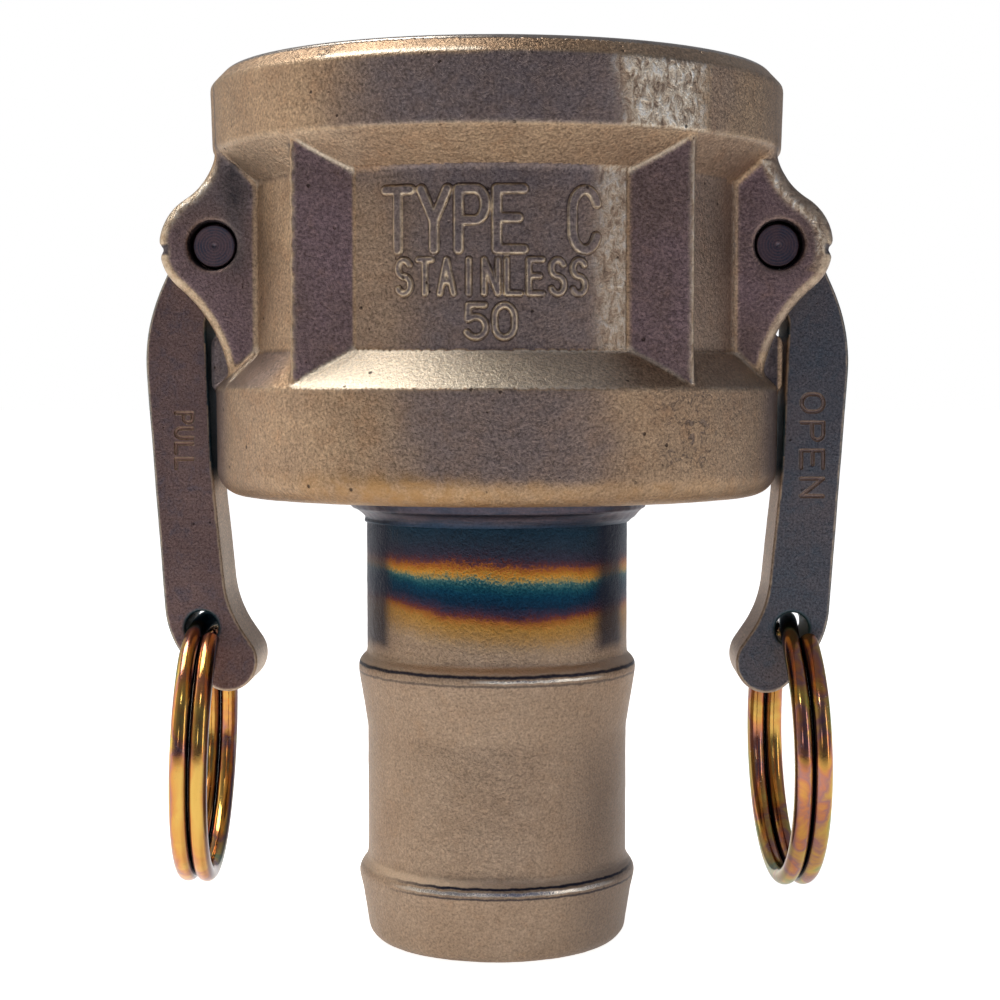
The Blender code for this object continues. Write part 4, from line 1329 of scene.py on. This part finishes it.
def hose_shank():
    profile = ease(fill_profile(SHANK_OUTLINE, detail(0.33, 0.7)))
    verts, quads, normals = revolve(profile, detail(540, 240))
    inside = ((np.hypot(verts[:, 0], verts[:, 1]) < 17.0)
              & (normals[:, 0] * verts[:, 0] + normals[:, 1] * verts[:, 1] < 0))
    outside = ~inside
    verts, normals = rough_up(verts, normals, [(0.030, 5.0, 41), (0.020, 1.7, 42),
                                               (0.012, 0.9, 43)], keep=outside.astype(float))
    x, y, z = verts.T
    bearing = np.degrees(np.arctan2(x, -y))     # 0 in front, positive to the right
    wobble = fractal(verts, 6.0, 3, 44)
    uneven = bearing + wobble * 3
    # heat colours: the lower edge climbs to the left, the upper one hardly
    shift = (0.05 - 2.0 * smooth(-10, -62, bearing) + 0.8 * bump_at(bearing, 18, 26)
             - 0.7 * smooth(35, 60, bearing))
    shift = shift + smooth(51.5, 56.0, z + shift) * (1.75 * smooth(-12, -50, bearing)
                                                     + 1.2 * smooth(24, 48, bearing))
    shift = np.where(np.abs(bearing) > 90, 0.8 * np.sin(np.radians(bearing * 3)) + 0.4, shift)
    shade = (smooth(-49, -57, uneven) * smooth(-110, -85, bearing)
             + smooth(45, 55, uneven) * smooth(76, 65, uneven)) * smooth(44.0, 46.0, z + wobble)
    # painted highlight on the edge of the upper barb, then of the lower one
    bright = ((z > 25) * smooth(-12, 2, bearing) * smooth(52, 36, bearing)
              + (z < 25) * smooth(-50, -25, bearing) * smooth(62, 40, bearing))
    bright = np.clip(bright * outside * (0.8 + 0.2 * wobble), 0, 1)
    # painted shade on the lower barbs to the right
    dusk = (0.42 * smooth(20, 52, bearing + wobble * 4) * smooth(100, 80, bearing)
            * smooth(41, 20, z) * outside)
    add_piece("hose_shank_turned", verts, quads, "coupler", "hose_shank", "turned_stainless",
              SHANK, normals, inside=inside, heat_shift=shift, shade=shade * 0.84, dusk=dusk,
              speckled=bump_at(bearing, -4, 22) * smooth(54.5, 56.5, z + shift),
              line=outside * smooth(-60, -20, bearing) * smooth(95, 60, bearing), bright=bright)


def weld_bead():
    """Rippled fillet between the shank and the body's floor."""
    top = Z_FLOOR - 0.3
    # closed (radius, z) outline: down the shank side, up the face
    outline = [(19.86, top), (19.86, 62.9), (19.92, 62.95), (20.05, 63.3), (20.2, 63.6),
               (20.45, 63.9), (20.7, 64.2), (21.0, 64.5), (21.4, 64.8), (22.05, 65.1),
               (22.4, 65.9), (22.75, top)]
    verts, quads, _ = revolve(ease(fill_profile(outline, 0.16)), detail(900, 300))
    x, y, z = verts.T
    turn = np.arctan2(y, x)
    # fuller to the right
    lean = 0.45 * np.sin(np.arctan2(x, -y)) * smooth(66.5, 64.0, z)
    ripple = np.sin(2 * pi * (turn * 21.0 / 2.15 + 0.10 * (z - 64) ** 2 / 2.0)) * 0.016
    ripple = ripple + relief(verts, [(0.03, 1.4, 51), (0.08, 4.2, 52)])
    swell = smooth(19.9, 20.3, np.hypot(x, y)) * (lean + ripple)
    verts = verts + np.stack([np.cos(turn), np.sin(turn), 0 * turn], 1) * swell[:, None]
    verts[:, 2] = np.minimum(verts[:, 2], top)
    add_piece("weld_bead_ripples", verts, quads, "coupler", "weld_bead", "weld_metal", WELD)


def gasket():
    """Flat ring with two shallow grooves in its top."""
    low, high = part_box("gasket")
    z_low, z_high, outer = low.z / MM, high.z / MM, high.x / MM
    inner = 25.4
    mid = (inner + outer) / 2
    groove_z = z_high - 0.35
    outline = [(inner, z_low), (outer, z_low), (outer, z_high), (mid + 2.6, z_high),
               (mid + 2.2, groove_z), (mid + 0.9, groove_z), (mid + 0.5, z_high),
               (mid - 0.5, z_high), (mid - 0.9, groove_z), (mid - 2.2, groove_z),
               (mid - 2.6, z_high), (inner, z_high)]
    outline = round_corners(outline, [0.8] * 3 + [0.15] * 8 + [0.8], 5)
    verts, quads, normals = revolve(fill_profile(outline, 0.35), 300)
    verts = verts + normals * (0.02 * noise3(verts, 3.0, 61))[:, None]
    add_piece("gasket_moulded", verts, quads, "coupler", "gasket", "black_rubber", RUBBER)


hose_shank()
weld_bead()
gasket()


# ------------------------------------------------------------ stage and light (metres)
def stage():
    """Pale floor that glows a little, more towards the back and more to the camera."""
    half, cells, floor_z = 6.0, 12, -0.0003
    places = [-half + 2 * half * k / cells for k in range(cells + 1)]
    corners = [j * (cells + 1) + i for j in range(cells) for i in range(cells)]
    mesh = bpy.data.meshes.new("studio_floor")
    mesh.from_pydata([(x, y, floor_z) for y in places for x in places], [],
                     [(k, k + 1, k + cells + 2, k + cells + 1) for k in corners])
    floor = bpy.data.objects.new("studio_floor", mesh)
    bpy.context.scene.collection.objects.link(floor)
    material = bpy.data.materials.new("studio_floor")
    material.use_nodes = True
    nodes = Nodes(material.node_tree)
    cloud = nodes.value("TexNoise", {"Scale": 3.0}, "Fac")
    grey = nodes.linear(cloud, over=(0.0, 1.0), to=(0.86, 0.90))
    y = nodes.xyz(nodes.value("TexCoord", {}, "Object"))[1]
    unseen_glow = nodes.ramp(y, over=(-0.34, -0.10), to=(0.06, 0.46))
    seen = nodes.value("LightPath", {}, "Is Camera Ray")
    shader = {
        "Base Color": nodes.value("CombineColor", {0: grey, 1: grey, 2: grey}, "Color"),
        "Roughness": 0.9,
        "Specular IOR Level": 0.1,
        "Emission Color": (1.0, 0.99, 0.975),
        "Emission Strength": nodes.linear(seen, over=(0.0, 1.0), to=(unseen_glow, 0.92)),
    }
    for key, value in shader.items():
        nodes.link(value, material.node_tree.nodes["Principled BSDF"].inputs[key])
    mesh.materials.append(material)


# Colours round the horizon: degrees from the camera side, positive to the right
HORIZON = [(-180, (0.24, 0.25, 0.29)), (-160, (0.20, 0.21, 0.24)), (-132, (0.50, 0.48, 0.45)),
           (-100, (0.52, 0.49, 0.46)), (-62, (0.36, 0.345, 0.34)), (-35, (0.15, 0.158, 0.20)),
           (0, (0.070, 0.080, 0.145)), (40, (0.095, 0.108, 0.175)), (60, (0.18, 0.19, 0.24)),
           (76, (0.27, 0.285, 0.33)), (100, (0.22, 0.24, 0.29)), (124, (0.17, 0.19, 0.245)),
           (160, (0.27, 0.28, 0.30)), (180, (0.24, 0.25, 0.29))]


def world():
    """White to the camera; to all else a horizon of colours under a grey top."""
    studio = bpy.data.worlds.new("studio")
    bpy.context.scene.world = studio
    studio.use_nodes = True
    nodes = Nodes(studio.node_tree)
    x, y, z = nodes.xyz(nodes.value("TexCoord", {}, "Generated"))

    def math(operation, first, second):
        return nodes.value("Math", {0: first, 1: second}, operation=operation)

    turn = math("ARCTAN2", x, math("MULTIPLY", y, -1.0))
    around = math("ADD", math("DIVIDE", turn, 2 * pi), 0.5)
    stops = [(bearing / 360 + 0.5, colour) for bearing, colour in HORIZON]
    horizon = nodes.colour_ramp(around, stops, "EASE")
    sky = nodes.mix(nodes.ramp(z, over=(0.45, 0.9)), horizon, (0.17, 0.17, 0.19))
    unseen = nodes.value("Background", {"Color": sky, "Strength": 1.0})
    seen = studio.node_tree.nodes["Background"]
    nodes.link((1, 1, 1), seen.inputs["Color"])
    nodes.link(1.0, seen.inputs["Strength"])
    surface = nodes.value("MixShader", {0: nodes.value("LightPath", {}, "Is Camera Ray"),
                                        1: unseen, 2: Value(nodes, seen.outputs[0])})
    nodes.link(surface, studio.node_tree.nodes["World Output"].inputs["Surface"])


# name, place, height aimed at on the axis, width, height, watts, colour
LIGHTS = (
    ("key_left", (-0.85, 0.15, 0.25), 0.09, 0.6, 0.7, 0.9, (1.0, 0.94, 0.86)),
    ("top_soft", (-0.34, 0.05, 0.75), 0.09, 0.40, 0.40, 3.6, (1.0, 0.97, 0.92)),
    ("right_strip", (0.7, -0.42, 0.22), 0.09, 0.12, 0.5, 0.45, (1.0, 0.92, 0.82)),
    ("front_top", (-0.10, -0.52, 0.60), 0.05, 0.10, 0.06, 0.16, (1.0, 0.98, 0.94)),
    ("front_low", (-0.11, -0.60, 0.20), 0.05, 0.05, 0.10, 0.05, (1.0, 0.97, 0.92)),
)


def area_light(name, place, aim_z, width, height, watts, colour):
    light = bpy.data.lights.new(name, "AREA")
    light.shape = "RECTANGLE"
    light.size, light.size_y = width, height
    light.energy = watts
    light.color = colour
    lamp = bpy.data.objects.new(name, light)
    lamp.location = place
    aim = Vector((0, 0, aim_z)) - Vector(place)
    lamp.rotation_euler = aim.to_track_quat("-Z", "Y").to_euler()
    lamp.visible_camera = False
    bpy.context.scene.collection.objects.link(lamp)


def camera():
    """Camera in front, a little to the right, looking slightly down."""
    distance, height = 0.31915002, 0.0837116
    bearing, pitch, yaw = radians(1.38458), radians(3.17541), 0.00142904
    cam = bpy.data.objects.new("camera", bpy.data.cameras.new("camera"))
    bpy.context.scene.collection.objects.link(cam)
    cam.location = (distance * sin(bearing), -distance * cos(bearing), height)
    cam.rotation_euler = (pi / 2 - pitch, 0, bearing - yaw)
    cam.data.sensor_width = 36.0
    cam.data.lens = 76.215132
    cam.data.clip_start, cam.data.clip_end = 0.01, 50.0
    bpy.context.scene.camera = cam


stage()
world()
for light_row in LIGHTS:
    area_light(*light_row)
camera()
bpy.context.scene.view_settings.view_transform = "Standard"
bpy.context.scene.view_settings.look = "None"
